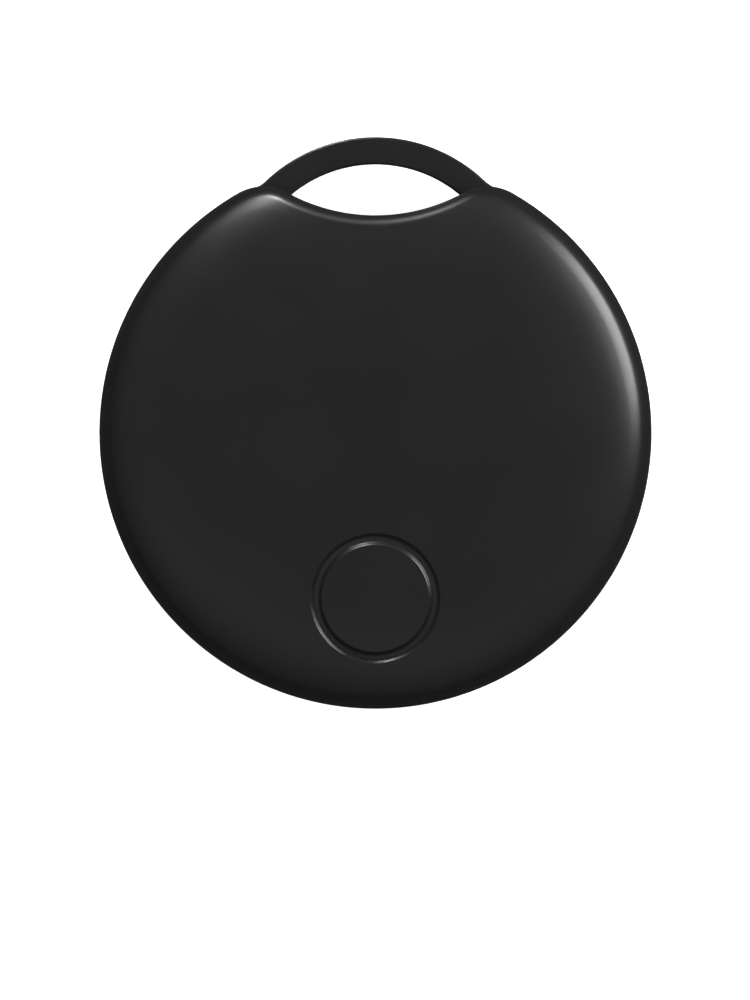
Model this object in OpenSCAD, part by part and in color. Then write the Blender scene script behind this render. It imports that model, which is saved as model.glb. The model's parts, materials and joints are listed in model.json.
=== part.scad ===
// Bluetooth tracker tag: a round two-part case with a key loop, a push button, a coin cell and a sounder.
// The tag lies on its back: the flat rear face is on z = 0, the front faces +Z and the key loop is towards +Y.

/* [Case] */
// Radius of the round case
case_r = 19; // [18:0.25:20]
// Height of the front dome above the parting plane
front_h = 4.4; // [4.3:0.1:5]
// Height of the parting plane above the rear face
rear_h = 3.8; // [3.8:0.1:4.2]
// Exponent of the front dome: larger is flatter on top
dome_n = 2.8; // [2.6:0.1:3.2]
// Radius of the flat rear face
flat_r = 14; // [13.5:0.25:14.5]
// Height of the plain band at the front cover's rim
front_band = 0.2; // [0.1:0.05:0.3]
// Height of the plain band at the rear cover's rim
rear_band = 0.4; // [0.3:0.05:0.6]
// Width of the rounding along the round rim
edge_round = 1; // [0.6:0.1:1]
// Width of the rounding along the scallop and the lobes
edge_tight = 0.5; // [0.4:0.1:0.6]
// Wall thickness of the covers
wall = 1.1; // [1:0.05:1.2]

/* [Key loop] */
// Height of the scallop's lowest point above the case's axis
scallop_y = 14.9; // [14.7:0.1:15.1]
// Radius of the scallop
scallop_r = 12.37; // [12:0.1:12.8]
// Radius of the lobes on each side of the scallop
lobe_r = 3.44; // [3.4:0.02:3.6]
// Height of the loop's centre above the case's axis
loop_y = 9.4; // [9.2:0.1:9.6]
// Outer radius of the loop
loop_r = 10.95; // [10.8:0.05:11.2]
// Width of the loop's bar
loop_w = 1.85; // [1.6:0.05:2]
// Thickness of the loop's bar
loop_t = 2.2; // [1.8:0.1:2.4]
// Radius of the web where the loop meets a lobe
web_r = 2.2; // [1.8:0.1:2.6]

/* [Button] */
// Distance of the button's axis below the case's axis
button_y = 11.37; // [11.2:0.1:11.5]
// Radius of the button's hole
hole_r = 4.21; // [4.15:0.01:4.25]
// Radius of the button's crown
crown_r = 3.93; // [3.9:0.01:3.95]
// Width of the soft slopes on each side of the groove round the crown
lip = 0.3; // [0.25:0.05:0.35]
// Depth of the groove round the crown
groove = 0.2; // [0.1:0.05:0.25]
// Travel of the button
travel = 0.25; // [0.2:0.05:0.25]

/* [Coin cell] */
// Radius of the cell
cell_r = 8; // [7.8:0.1:8]
// Height of the cell
cell_h = 3.2; // [3:0.1:3.2]
// Height of the cell's centre above the case's axis
cell_y = 3.4; // [3.3:0.1:3.5]

/* [Electronics] */
// Height of the circuit board's rear side
board_z = 2.6; // [2.6:0.05:2.65]
// Thickness of the circuit board
board_t = 0.6; // [0.5:0.05:0.6]
// Radius of the sounder's brass plate
sounder_r = 7.5; // [7:0.25:7.5]
// Radius of the sounder's ceramic disc
ceramic_r = 5.5; // [5:0.25:6]
// Radius of each sound hole
sound_hole_r = 0.4; // [0.3:0.05:0.5]

/* [Hidden] */
$fn = 48;
eps = 0.01;
mate = 0.05;                      // gap between pieces that are assembled with clearance
board_top = board_z + board_t;
contact_h = 0.3;                  // height of the negative contact under the cell
cell_z = board_top + contact_h;
cell_top = cell_z + cell_h;
foam_h = 0.3;
ceiling = cell_top + foam_h;      // flat pocket over the cell in the front cover
crown_wall = wall + 0.15;         // thickness of the dome, measured straight down

// Outline insets of the joint between the covers, from the outside in
rim_in = 1.0;                     // inside of the rear cover's rim
tongue_in = rim_in + mate;        // outside of the front cover's tongue
tongue_out = 1.7;                 // inside of the tongue and of the front cover's wall
ledge_in = 1.75;                  // inside of the ledge that carries the gasket
board_in = 1.95;                  // edge of the circuit board
floor_in = 3.2;                   // edge of the flat floor
ledge_z = 2.3;
gasket_h = 0.4;
step_z = 1.7;

// Button stack
shelf_z = 5.6;                    // underside of the front cover round the hole
web_h = 0.3;                      // silicone web between the shelf and the brim
brim_h = 0.5;
brim_top = shelf_z - web_h;
brim_r = 5.2;
seal_r = 5.9;
stem_z = 4.8 - mate;
seal_gap = 0.02;                  // gap on each side of the seal's upstand
seal_low = groove + 0.03;         // how far the seal's upstand stays under the dome
button = [0, -button_y];

// Screws that hold the board
screws = [[-13.4, 5.6], [13.4, 5.6], [0, -15.1]];
boss_r = 1.5;
screw_r = 0.7;
pilot_r = 0.6;
screw_tip = 0.8;
pilot_z = 0.6;
head_r = 1.2;
head_h = 0.5;

// Sounder stack
ring_in = 6.6;
ring_top = 1.45;
glue_h = 0.05;
plate_t = 0.15;
plate_z = ring_top + glue_h;

// ---- Outline of the case ----
// A station is [centre, radius, side, angle]: a point of the outline on an arc. The angle runs clockwise
// from +Y, and side is 1 on an outward arc and -1 on the scallop, which bends inwards.
function ray(a) = [sin(a), cos(a)];
function arc(c, r, side, a0, a1, n) = [for (i = [0:n - 1]) [c, r, side, a0 + (a1 - a0) * i / n]];
function rim_point(s, inset) = s[0] + (s[1] - s[2] * inset) * ray(s[3]);

scallop_c = [0, scallop_y + scallop_r];
lobe_y = (pow(case_r - lobe_r, 2) - pow(scallop_r + lobe_r, 2) + pow(scallop_c.y, 2)) / (2 * scallop_c.y);
lobe_x = sqrt(pow(case_r - lobe_r, 2) - lobe_y * lobe_y);
lobe_a = atan2(lobe_x, lobe_y);                       // where a lobe meets the round rim
turn_a = atan2(lobe_x, scallop_c.y - lobe_y);         // where a lobe meets the scallop
STATIONS = concat(
    arc(scallop_c, scallop_r, -1, 180 + turn_a, 180 - turn_a, 10),
    arc([lobe_x, lobe_y], lobe_r, 1, -turn_a, lobe_a, 6),
    arc([0, 0], case_r, 1, lobe_a, 360 - lobe_a, 50),
    arc([-lobe_x, lobe_y], lobe_r, 1, -lobe_a, turn_a, 6));
function outline(inset) = [for (s = STATIONS) rim_point(s, inset)];

// ---- Skins of the two covers ----
// Height of a cover's skin above the parting plane at p, with the edge rounded at distance d from the outline
function fall(t, n) = pow(max(0, 1 - pow(t, n)), 1 / n);
function raw_height(r, h, band, flat, n) = (h - band) * fall(min(1, max(0, (r - flat) / (case_r - flat))), n);
function edge_drop(d, f) = d >= f ? 0 : f - sqrt(f * f - (f - d) * (f - d));
// The rounding is tight up to the ends of the lobes and reaches its full width 20 degrees further on
function edge_share(p) = min(1, max(0, (abs(atan2(p.x, p.y)) - lobe_a) / 20));
function edge_size(p) = edge_tight + (edge_round - edge_tight) * edge_share(p);
function rounded(p, raw, d) = raw - edge_drop(d, min(edge_size(p), raw));
function dome(p, d) = rear_h + front_band + rounded(p, raw_height(norm(p), front_h, front_band, 0, dome_n), d);
function belly(p, d) = rear_h - rear_band - rounded(p, raw_height(norm(p), rear_h, rear_band, flat_r, 2), d);
// How far the slope beside the groove has fallen, from 0 at g = 1 to the groove's depth at g = 0
function lip_drop(g) = groove * (1 + cos(180 * g)) / 2;
function lift(points, z) = [for (p = points) [p.x, p.y, z]];
function blend(a, b, t) = [for (i = [0:len(a) - 1]) a[i] * (1 - t) + b[i] * t];
// Points at radius r about the button, in the directions of the given points
function round_button(points, r) = [for (p = points) button + r * (p - button) / norm(p - button)];

// A closed solid through rings of points that all run clockwise seen from above, lowest ring first
module ring_solid(rings, low_point, top_point) {
    n = len(rings[0]);
    last = (len(rings) - 1) * n;
    low = len(rings) * n;
    faces = concat(
        [for (k = [0:n - 1]) [low, (k + 1) % n, k]],
        [for (i = [0:len(rings) - 2]) for (k = [0:n - 1]) [i * n + k, i * n + (k + 1) % n, (i + 1) * n + (k + 1) % n]],
        [for (i = [0:len(rings) - 2]) for (k = [0:n - 1]) [i * n + k, (i + 1) * n + (k + 1) % n, (i + 1) * n + k]],
        [for (k = [0:n - 1]) [low + 1, last + k, last + (k + 1) % n]]);
    polyhedron(points = concat([for (ring = rings) each ring], [low_point, top_point]), faces = faces);
}

module front_skin() {
    insets = [0, 0.04, 0.15, 0.32, 0.55, 0.8, 1.1, 1.6];
    base = outline(insets[len(insets) - 1]);
    lip_ring = round_button(base, hole_r + lip);
    rings = concat(
        [lift(outline(0), rear_h)],
        [for (d = insets) [for (p = outline(d)) [p.x, p.y, dome(p, d)]]],
        [for (t = [0.12:0.16:0.92]) [for (p = blend(base, lip_ring, t)) [p.x, p.y, dome(p, case_r)]]],
        [for (g = [1, 0.8, 0.6, 0.4, 0.2]) [for (p = round_button(base, hole_r + g * lip))
            [p.x, p.y, dome(p, case_r) - lip_drop(g)]]],
        // The last ring stands inside the hole, so that the hole's wall cuts clean through the skin
        [[for (p = round_button(base, hole_r - lip / 2)) [p.x, p.y, dome(p, case_r) - groove]]]);
    ring_solid(rings, [0, -button_y, rear_h], [0, -button_y, dome(button, case_r) - groove]);
}

// The hollow of the front cover: the dome again, lowered by the wall
module front_hollow() {
    insets = [tongue_out, tongue_out + 0.5, tongue_out + 1.2];
    base = outline(insets[len(insets) - 1]);
    rings = concat(
        [lift(outline(tongue_out), rear_h - 2)],
        [for (d = insets) [for (p = outline(d)) [p.x, p.y, dome(p, d) - crown_wall]]],
        [for (t = [0.25:0.25:0.75]) [for (p = base * (1 - t)) [p.x, p.y, dome(p, case_r) - crown_wall]]]);
    ring_solid(rings, [0, 0, rear_h - 2], [0, 0, dome([0, 0], case_r) - crown_wall]);
}

// The rear cover's outside, standing over the parting plane so that one flat cut makes the rim
module rear_skin() {
    over = 1;
    insets = [3.2, 2.6, 2, 1.4, 0.9, 0.5, 0.25, 0.1, 0];
    base = outline(insets[0]);
    rings = concat(
        [for (s = [0.88, 0.94]) [for (p = base * s) [p.x, p.y, belly(p, case_r)]]],
        [for (d = insets) [for (p = outline(d)) [p.x, p.y, belly(p, d)]]],
        [lift(outline(0), rear_h + over)]);
    difference() {
        ring_solid(rings, [0, 0, 0], [0, 0, rear_h + over]);
        disc(rear_h, 2 * over, case_r + 1);
    }
}

// ---- Small shapes ----
module slab(z, h, inset) {
    translate([0, 0, z]) linear_extrude(h) polygon(outline(inset));
}

module disc(z, h, r, c = [0, 0]) {
    translate([c.x, c.y, z]) cylinder(h = h, r = r);
}

module ring(z, h, r_out, r_in, c = [0, 0]) {
    difference() {
        disc(z, h, r_out, c);
        disc(z - 1, h + 2, r_in, c);
    }
}

module block(c, size, z, turn = 0) {
    translate([c.x, c.y, z]) rotate(turn) translate([-size.x / 2, -size.y / 2, 0]) cube(size);
}

// A flat electronic part standing on the board
module chip(c, size, turn = 0) {
    block(c, size, board_top, turn);
}

// ---- Rear cover ----
module loop_bar() {
    low = rear_h - loop_t;
    cut = 0.15;
    r_in = loop_r - loop_w;
    side = loop_r + web_r;
    reach = lobe_r + web_r;
    span = norm([lobe_x, lobe_y - loop_y]);
    along = (side * side - reach * reach + span * span) / (2 * span);
    away = sqrt(side * side - along * along);
    u = [lobe_x, lobe_y - loop_y] / span;
    web_c = [0, loop_y] + along * u + away * [-u.y, u.x];
    difference() {
        union() {
            translate([0, loop_y, low]) rotate_extrude() polygon([
                [r_in + cut, 0], [loop_r - cut, 0], [loop_r, cut], [loop_r, loop_t - cut],
                [loop_r - cut, loop_t], [r_in + cut, loop_t], [r_in, loop_t - cut], [r_in, cut]]);
            for (m = [0, 1]) mirror([m, 0, 0]) difference() {
                translate([0, 0, low + cut]) linear_extrude(loop_t - 2 * cut)
                    polygon([[0, loop_y], web_c, [lobe_x, lobe_y]]);
                disc(low - 1, loop_t + 2, web_r, web_c);
                disc(low - 1, loop_t + 2, r_in + cut, [0, loop_y]);
            }
        }
        slab(low - 1, loop_t + 2, rim_in - mate);
    }
}

module rear_cover() {
    color([0.13, 0.13, 0.14]) difference() {
        union() {
            difference() {
                rear_skin();
                slab(ledge_z, rear_h, rim_in);
                slab(step_z, rear_h, ledge_in);
                slab(wall, rear_h, floor_in);
            }
            loop_bar();
            for (p = screws) disc(wall - 0.3, board_z - wall + 0.3, boss_r, p);
            ring(wall - 0.3, ring_top - wall + 0.3, sounder_r, ring_in);
        }
        for (p = screws) disc(pilot_z, board_z, pilot_r, p);
        disc(-1, 4, sound_hole_r);
        for (a = [0:60:300]) disc(-1, 4, sound_hole_r, 2 * ray(a));
        // Pry notch at the parting plane, in the wall that faces the loop's opening
        block([0, scallop_y], [3, 1, 1], rear_h - 0.5);
    }
}

module seal_gasket() {
    color([0.35, 0.35, 0.36]) difference() {
        slab(ledge_z, gasket_h, tongue_in);
        slab(ledge_z - 1, gasket_h + 2, tongue_out);
    }
}

// ---- Sounder ----
module acoustic_mesh() {
    color([0.3, 0.3, 0.3]) disc(wall, 0.1, 3.4);
}

module buzzer_adhesive() {
    color([0.85, 0.82, 0.7]) ring(ring_top, glue_h, sounder_r - 0.1, ring_in + 0.1);
}

module buzzer_plate() {
    color([0.85, 0.68, 0.32]) disc(plate_z, plate_t, sounder_r);
}

module buzzer_ceramic() {
    color([0.9, 0.88, 0.82]) disc(plate_z + plate_t, plate_t, ceramic_r);
}

// One sprung finger from the board down to height z, with its foot at p and its tip towards the axis
module finger(p, turn, z) {
    top = board_z;
    translate([p.x, p.y, 0]) rotate(turn) translate([0, 0.4, 0]) rotate([90, 0, 0]) linear_extrude(0.8)
        polygon([[1, top], [-1, top], [-2.35, z + 0.12], [-2.7, z + 0.12], [-2.7, z], [-2.3, z],
            [-1.05, top - 0.12], [1, top - 0.12]]);
}

module buzzer_contacts() {
    color([0.85, 0.75, 0.45]) {
        finger([9.5, 0], 0, plate_z + plate_t);
        finger([-5.5, 0], 180, plate_z + 2 * plate_t);
    }
}

// ---- Circuit board ----
module circuit_board() {
    color([0.05, 0.2, 0.13]) difference() {
        slab(board_z, board_t, board_in);
        for (p = screws) disc(board_z - 1, 3, screw_r + mate, p);
    }
}

module pcb_screws() {
    color([0.75, 0.75, 0.77]) for (p = screws) difference() {
        union() {
            disc(screw_tip, board_top - screw_tip + eps, pilot_r, p);
            disc(board_top, head_h, head_r, p);
        }
        block(p, [1.4, 0.3, 1], board_top + 0.2);
        block(p, [0.3, 1.4, 1], board_top + 0.2);
    }
}

module bluetooth_chip() {
    color([0.12, 0.12, 0.13]) chip([-12.2, -3.2], [5, 5, 0.85]);
}

module main_crystal() {
    color([0.78, 0.77, 0.73]) chip([-8.8, -8], [2.5, 2, 0.55], -40);
}

module clock_crystal() {
    color([0.72, 0.7, 0.62]) chip([-13.6, 1.6], [3.2, 1.5, 0.8]);
}

module motion_sensor() {
    color([0.2, 0.2, 0.21]) chip([12.6, 1.4], [2, 2, 0.9]);
}

module chip_antenna() {
    color([0.9, 0.9, 0.86]) chip([11, -11], [5, 1.6, 1], 45);
}

module power_inductor() {
    color([0.28, 0.27, 0.27]) chip([12.2, -3.2], [3, 3, 1.2]);
}

// The moulded body of the transistor and its three leads
module driver_transistor() {
    color([0.1, 0.1, 0.1]) translate([8.4, -7.6, board_top]) rotate(30) {
        translate([-1.45, -0.65, 0.1]) cube([2.9, 1.3, 0.95]);
        for (x = [-0.95, 0.95]) translate([x - 0.2, -1.2, 0]) cube([0.4, 0.7, 0.25]);
        translate([-0.2, 0.5, 0]) cube([0.4, 0.7, 0.25]);
    }
}

module smd_capacitors() {
    size = [1, 0.5, 0.5];
    color([0.62, 0.5, 0.38]) {
        for (y = [-5.6:1.1:-1.2]) chip([-8.9, y], size);
        for (a = [204:6:228]) chip(15.4 * ray(a), size, -a);
        for (y = [7.4:1.2:9.8]) chip([10.6, y], size);
    }
}

module smd_resistors() {
    size = [1, 0.5, 0.35];
    color([0.1, 0.1, 0.11]) {
        for (a = [150:6:168]) chip(15.4 * ray(a), size, -a);
        for (x = [-5.6:1.2:-3.2]) chip([x, -8.4], size, 90);
        for (y = [-1.2, -0.4]) chip([15.4, y], size);
    }
}

// Gold pads on the rear side of the board
module test_pads() {
    color([0.83, 0.69, 0.35]) for (x = [-4:2:4]) disc(board_z - 0.04, 0.04, 0.6, [x, -11.5]);
}

// ---- Tact switch under the button ----
module switch_base() {
    color([0.15, 0.15, 0.15]) difference() {
        block(button, [4, 4, 0.9], board_top);
        disc(board_top + 0.3, 1, 1.4, button);
    }
}

// The snap dome: a thin metal cap with its rim on the floor of the base
module switch_dome() {
    low = board_top + 0.3;
    color([0.8, 0.8, 0.8]) translate([0, -button_y, low]) rotate_extrude()
        polygon([[0, 0.14], [0.7, 0.09], [1.3, 0], [1.3, 0.07], [0.7, 0.17], [0, 0.22]]);
}

module switch_plunger() {
    low = board_top + 0.55;
    color([0.75, 0.75, 0.72]) {
        disc(low, 0.25, 1.3, button);
        disc(low, stem_z - mate - low, 0.85, button);
    }
}

module switch_frame() {
    color([0.8, 0.8, 0.8]) difference() {
        block(button, [4, 4, 0.15], board_top + 0.9);
        disc(board_top, 2, 0.9, button);
    }
}

// ---- Cell holder and contacts ----
cell_c = [0, cell_y];
cradle_in = cell_r + 0.15;
cradle_r = 9;
cradle_top = board_top + 1.8;

module battery_cradle() {
    color([0.2, 0.2, 0.21]) difference() {
        disc(board_top, cradle_top - board_top, cradle_r, cell_c);
        disc(cell_z, 3, cradle_in, cell_c);
        disc(board_top - 1, 3, 6.2, cell_c);
        // Gaps for the side contacts and for a fingertip under the cell
        for (x = [-1, 1]) block([x * 9, cell_y], [4, 3.2, 3], board_top - 1);
        block([0, cell_y - 9], [4, 3, 3], cell_z);
    }
}

module negative_contact() {
    color([0.82, 0.74, 0.5]) {
        disc(board_top, 0.1, 4, cell_c);
        for (a = [0:120:240]) {
            block(cell_c + 3 * ray(a), [0.9, 3.4, 0.1], board_top + 0.1, -a);
            disc(board_top + 0.2, contact_h - 0.2, 0.4, cell_c + 4.2 * ray(a));
        }
    }
}

// A foot on the board and a standing leaf that presses on the side of the cell
module positive_contacts() {
    gap = 0.03;
    leaf = 0.2;
    color([0.8, 0.79, 0.75]) for (m = [0, 1]) mirror([m, 0, 0]) {
        translate([cell_r + gap, cell_y - 1.2, board_top]) cube([leaf, 2.4, 2.4]);
        translate([cell_r + gap, cell_y - 1.2, board_top]) cube([1.9, 2.4, leaf]);
    }
}

// ---- Coin cell ----
can_t = 0.25;
crimp_z = cell_z + 0.15;

module battery_can() {
    corner = 0.35;
    color([0.78, 0.78, 0.79]) translate([0, cell_y, 0]) rotate_extrude() polygon([
        [0, cell_top], [cell_r - corner, cell_top], [cell_r, cell_top - corner], [cell_r, crimp_z + 0.3],
        [cell_r - 0.3, crimp_z], [cell_r - 0.9, crimp_z], [cell_r - 0.9, crimp_z + can_t],
        [cell_r - 0.45, crimp_z + can_t], [cell_r - can_t, crimp_z + 0.45],
        [cell_r - can_t, cell_top - corner - 0.1], [cell_r - corner - 0.1, cell_top - can_t],
        [0, cell_top - can_t]]);
}

module battery_gasket() {
    color([0.3, 0.45, 0.6]) ring(crimp_z, 0.7, cell_r - 0.9, cell_r - 1.15, cell_c);
}

module battery_cap() {
    cap_r = cell_r - 1.15;
    color([0.74, 0.74, 0.75]) translate([0, cell_y, 0]) rotate_extrude() polygon([
        [0, cell_z], [cap_r - 0.3, cell_z], [cap_r, cell_z + 0.3], [cap_r, cell_z + 0.85],
        [cap_r - can_t, cell_z + 0.85], [cap_r - can_t, cell_z + 0.4],
        [cap_r - 0.4, cell_z + can_t], [0, cell_z + can_t]]);
}

// The lithium and manganese dioxide layers inside the cell
module battery_stack() {
    color([0.25, 0.25, 0.27]) disc(cell_z + 0.9, cell_h - 0.9 - can_t, cell_r - 0.6, cell_c);
}

// ---- Front cover and button ----
module foam_pad() {
    color([0.2, 0.2, 0.2]) disc(cell_top, foam_h, 6, cell_c);
}

module front_cover() {
    color([0.13, 0.13, 0.14]) difference() {
        union() {
            front_skin();
            // The tongue that goes inside the rear cover's rim
            slab(ledge_z + gasket_h, rear_h - ledge_z, tongue_in);
        }
        difference() {
            front_hollow();
            disc(shelf_z, front_h, seal_r + 1, button);
        }
        disc(rear_h, ceiling - rear_h, cell_r + 0.4, cell_c);
        disc(rear_h, shelf_z - rear_h, seal_r + 0.1, button);
        disc(rear_h, front_h + 1, hole_r, button);
    }
}

button_ring = [for (i = [0:47]) ray(i * 7.5)];

// A web under the shelf and a thin upstand that fills the groove round the crown
module button_seal() {
    r_in = crown_r + seal_gap;
    r_out = hole_r - seal_gap;
    top = function(r) [for (d = button_ring) [r * d.x, r * d.y - button_y, dome(button + r * d, case_r) - seal_low]];
    low = function(r) [for (d = button_ring) [r * d.x, r * d.y - button_y, brim_top]];
    color([0.1, 0.1, 0.11]) union() {
        ring(brim_top, web_h, seal_r, r_in, button);
        difference() {
            ring_solid([low(r_out), top(r_out), top(r_out / 2)], [0, -button_y, brim_top],
                [0, -button_y, dome(button, case_r) - seal_low]);
            disc(brim_top - 1, front_h, r_in, button);
        }
    }
}

module button_cap() {
    rings = concat(
        [[for (d = button_ring) [crown_r * d.x, crown_r * d.y - button_y, brim_top - brim_h / 2]]],
        [for (g = [0:0.2:1]) let (r = crown_r - g * lip) [for (d = button_ring)
            [r * d.x, r * d.y - button_y, dome(button + r * d, case_r) - lip_drop(g)]]],
        [for (r = [2.7, 1.8, 0.9]) [for (d = button_ring)
            [r * d.x, r * d.y - button_y, dome(button + r * d, case_r)]]]);
    color([0.14, 0.14, 0.15]) union() {
        ring_solid(rings, [0, -button_y, brim_top - brim_h / 2], [0, -button_y, dome(button, case_r)]);
        disc(brim_top - brim_h, brim_h, brim_r, button);
        disc(stem_z, brim_top - stem_z, 1, button);
    }
}

rear_cover();
seal_gasket();
acoustic_mesh();
buzzer_adhesive();
buzzer_plate();
buzzer_ceramic();
buzzer_contacts();
circuit_board();
pcb_screws();
bluetooth_chip();
main_crystal();
clock_crystal();
motion_sensor();
chip_antenna();
smd_capacitors();
smd_resistors();
power_inductor();
driver_transistor();
test_pads();
switch_base();
switch_dome();
switch_plunger();
switch_frame();
battery_cradle();
negative_contact();
positive_contacts();
battery_can();
battery_gasket();
battery_cap();
battery_stack();
foam_pad();
front_cover();
button_seal();
button_cap();
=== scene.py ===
import json
import math
import bmesh
import bpy
import numpy as np
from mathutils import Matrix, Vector

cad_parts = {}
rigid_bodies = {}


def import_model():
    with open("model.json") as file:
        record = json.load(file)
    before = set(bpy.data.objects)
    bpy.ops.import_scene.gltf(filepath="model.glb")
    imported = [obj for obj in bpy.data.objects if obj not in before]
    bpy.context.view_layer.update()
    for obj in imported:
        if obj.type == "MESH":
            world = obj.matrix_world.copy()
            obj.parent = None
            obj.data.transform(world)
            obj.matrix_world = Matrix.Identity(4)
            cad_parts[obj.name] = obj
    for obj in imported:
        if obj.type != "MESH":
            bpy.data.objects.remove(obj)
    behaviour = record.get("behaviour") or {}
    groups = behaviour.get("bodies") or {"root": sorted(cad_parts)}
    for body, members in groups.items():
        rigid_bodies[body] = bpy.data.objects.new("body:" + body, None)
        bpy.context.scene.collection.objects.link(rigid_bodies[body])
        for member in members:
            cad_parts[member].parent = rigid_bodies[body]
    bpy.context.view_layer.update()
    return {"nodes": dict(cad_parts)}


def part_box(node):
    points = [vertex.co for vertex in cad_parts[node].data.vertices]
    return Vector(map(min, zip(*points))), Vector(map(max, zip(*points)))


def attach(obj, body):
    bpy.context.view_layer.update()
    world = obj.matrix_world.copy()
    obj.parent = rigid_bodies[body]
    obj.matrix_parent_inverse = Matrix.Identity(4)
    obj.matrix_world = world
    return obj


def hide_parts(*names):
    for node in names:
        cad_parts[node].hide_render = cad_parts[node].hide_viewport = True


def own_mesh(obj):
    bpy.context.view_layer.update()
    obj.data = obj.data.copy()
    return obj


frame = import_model()
nodes = frame["nodes"]
mm = 0.001

# ---- Rear cover ----
# The tray that carries everything: one moulding of black ABS with the key loop at its top, a flat back
# with the sounder's holes in it, and a rim that the front cover's tongue drops into.
rear_low, rear_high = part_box("rear_cover")
case_r = (rear_high.x - rear_low.x) / 2
parting = rear_high.z
scallop_r = 12.37 * mm
scallop_y = 14.9 * mm
lobe_r = 3.44 * mm
flat_r = 14 * mm
rear_band = 0.4 * mm
edge_round = 1 * mm
edge_tight = 0.8 * mm
edge_grow = math.radians(20)
loop_y = 9.4 * mm
loop_w = 1.85 * mm
loop_t = 2.2 * mm
loop_r = rear_high.y - loop_y
loop_edge = 0.16 * mm
web_r = 2.2 * mm

scallop_c = scallop_y + scallop_r
lobe_y = ((case_r - lobe_r) ** 2 - (scallop_r + lobe_r) ** 2 + scallop_c ** 2) / (2 * scallop_c)
lobe_x = math.sqrt((case_r - lobe_r) ** 2 - lobe_y ** 2)
lobe_turn = math.atan2(lobe_x, lobe_y)
scallop_turn = math.atan2(lobe_x, scallop_c - lobe_y)


def arc(x, y, radius, side, start, end, count):
    """Stations along an arc: centre, radius, side (-1 where the outline bends inwards) and angle from +Y."""
    angles = start + (end - start) * np.arange(count) / count
    return np.column_stack([np.full((count, 4), (x, y, radius, side)), angles])


stations = np.concatenate([
    arc(0, scallop_c, scallop_r, -1, math.pi + scallop_turn, math.pi - scallop_turn, 84),
    arc(lobe_x, lobe_y, lobe_r, 1, -scallop_turn, lobe_turn, 48),
    arc(0, 0, case_r, 1, lobe_turn, 2 * math.pi - lobe_turn, 340),
    arc(-lobe_x, lobe_y, lobe_r, 1, -lobe_turn, scallop_turn, 48)])


def outline(inset):
    """The case's outline, moved inwards by inset, clockwise from the left end of the scallop."""
    x, y, radius, side, angle = stations.T
    reach = radius - side * inset
    return np.column_stack([x + reach * np.sin(angle), y + reach * np.cos(angle)])


def at(points, z):
    """Points in the plane, raised to height z, which is one number or one for each point."""
    return np.column_stack([points, np.broadcast_to(z, len(points))])


def edge_drop(distance, radius):
    """How far a rounded edge has fallen at that distance from its outline."""
    gap = np.clip(radius - distance, 0, radius)
    return radius - np.sqrt(radius ** 2 - gap ** 2)


def skin(points, height, band, flat, power, distance):
    """Height of a cover's outside away from the parting plane, with its outline's edge rounded."""
    t = np.clip((np.hypot(*points.T) - flat) / (case_r - flat), 0, 1)
    raw = (height - band) * (1 - t ** power) ** (1 / power)
    turn = np.abs(np.arctan2(points[:, 0], points[:, 1]))
    share = np.clip((turn - lobe_turn) / edge_grow, 0, 1)
    edge = edge_tight + (edge_round - edge_tight) * share
    return band + raw - edge_drop(distance, np.minimum(edge, raw))


def belly(points, distance=1.0):
    """Height of the rear cover's underside."""
    return parting - skin(points, parting, rear_band, flat_r, 2, distance)


def loft(name, rings, low=None, high=None):
    """A closed mesh through rings of equally many points, ended by fans to low and high, or joined up."""
    count = len(rings[0])
    verts = np.concatenate(rings)
    last = len(rings) - 1
    faces = []
    for i in range(last if low is not None else last + 1):
        a, b = i * count, (i + 1) % (last + 1) * count
        faces += [(a + k, b + k, b + (k + 1) % count, a + (k + 1) % count) for k in range(count)]
    if low is not None:
        tip = len(verts)
        verts = np.concatenate([verts, [low, high]])
        top = last * count
        faces += [(tip, k, (k + 1) % count) for k in range(count)]
        faces += [(tip + 1, top + (k + 1) % count, top + k) for k in range(count)]
    mesh = bpy.data.meshes.new(name)
    mesh.from_pydata(verts.tolist(), [], faces)
    work = bmesh.new()
    work.from_mesh(mesh)
    bmesh.ops.recalc_face_normals(work, faces=work.faces)
    work.to_mesh(mesh)
    work.free()
    piece = bpy.data.objects.new(name, mesh)
    bpy.context.scene.collection.objects.link(piece)
    return piece


def smooth(piece, angle=32):
    """Smooth shading, with a hard line where two faces meet at more than that angle."""
    mesh = piece.data
    mesh.polygons.foreach_set("use_smooth", [True] * len(mesh.polygons))
    mesh.set_sharp_from_angle(angle=math.radians(angle))


def combine(piece, tools, operation):
    """Applies a boolean with each tool in turn, and removes the tools."""
    for tool in tools:
        step = piece.modifiers.new(tool.name, "BOOLEAN")
        step.operation = operation
        step.solver = "MANIFOLD"
        step.object = tool
    shape = piece.evaluated_get(bpy.context.evaluated_depsgraph_get())
    mesh = bpy.data.meshes.new_from_object(shape)
    piece.modifiers.clear()
    piece.data = mesh
    for tool in tools:
        bpy.data.objects.remove(tool)


def slab(inset, low, high):
    """A block with the case's outline, moved inwards by inset."""
    ring = outline(inset)
    return loft("slab", [at(ring, low), at(ring, high)], (0, 0, low), (0, 0, high))


def circle(radius, x=0.0, y=0.0, count=96):
    """Points round a circle, clockwise from +Y."""
    turn = np.arange(count) / count * 2 * math.pi
    return np.column_stack([x + radius * np.sin(turn), y + radius * np.cos(turn)])


def drum(radius, low, high, x=0.0, y=0.0, count=96):
    """An upright cylinder."""
    ring = circle(radius, x, y, count)
    return loft("drum", [at(ring, low), at(ring, high)], (x, y, low), (x, y, high))


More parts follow.
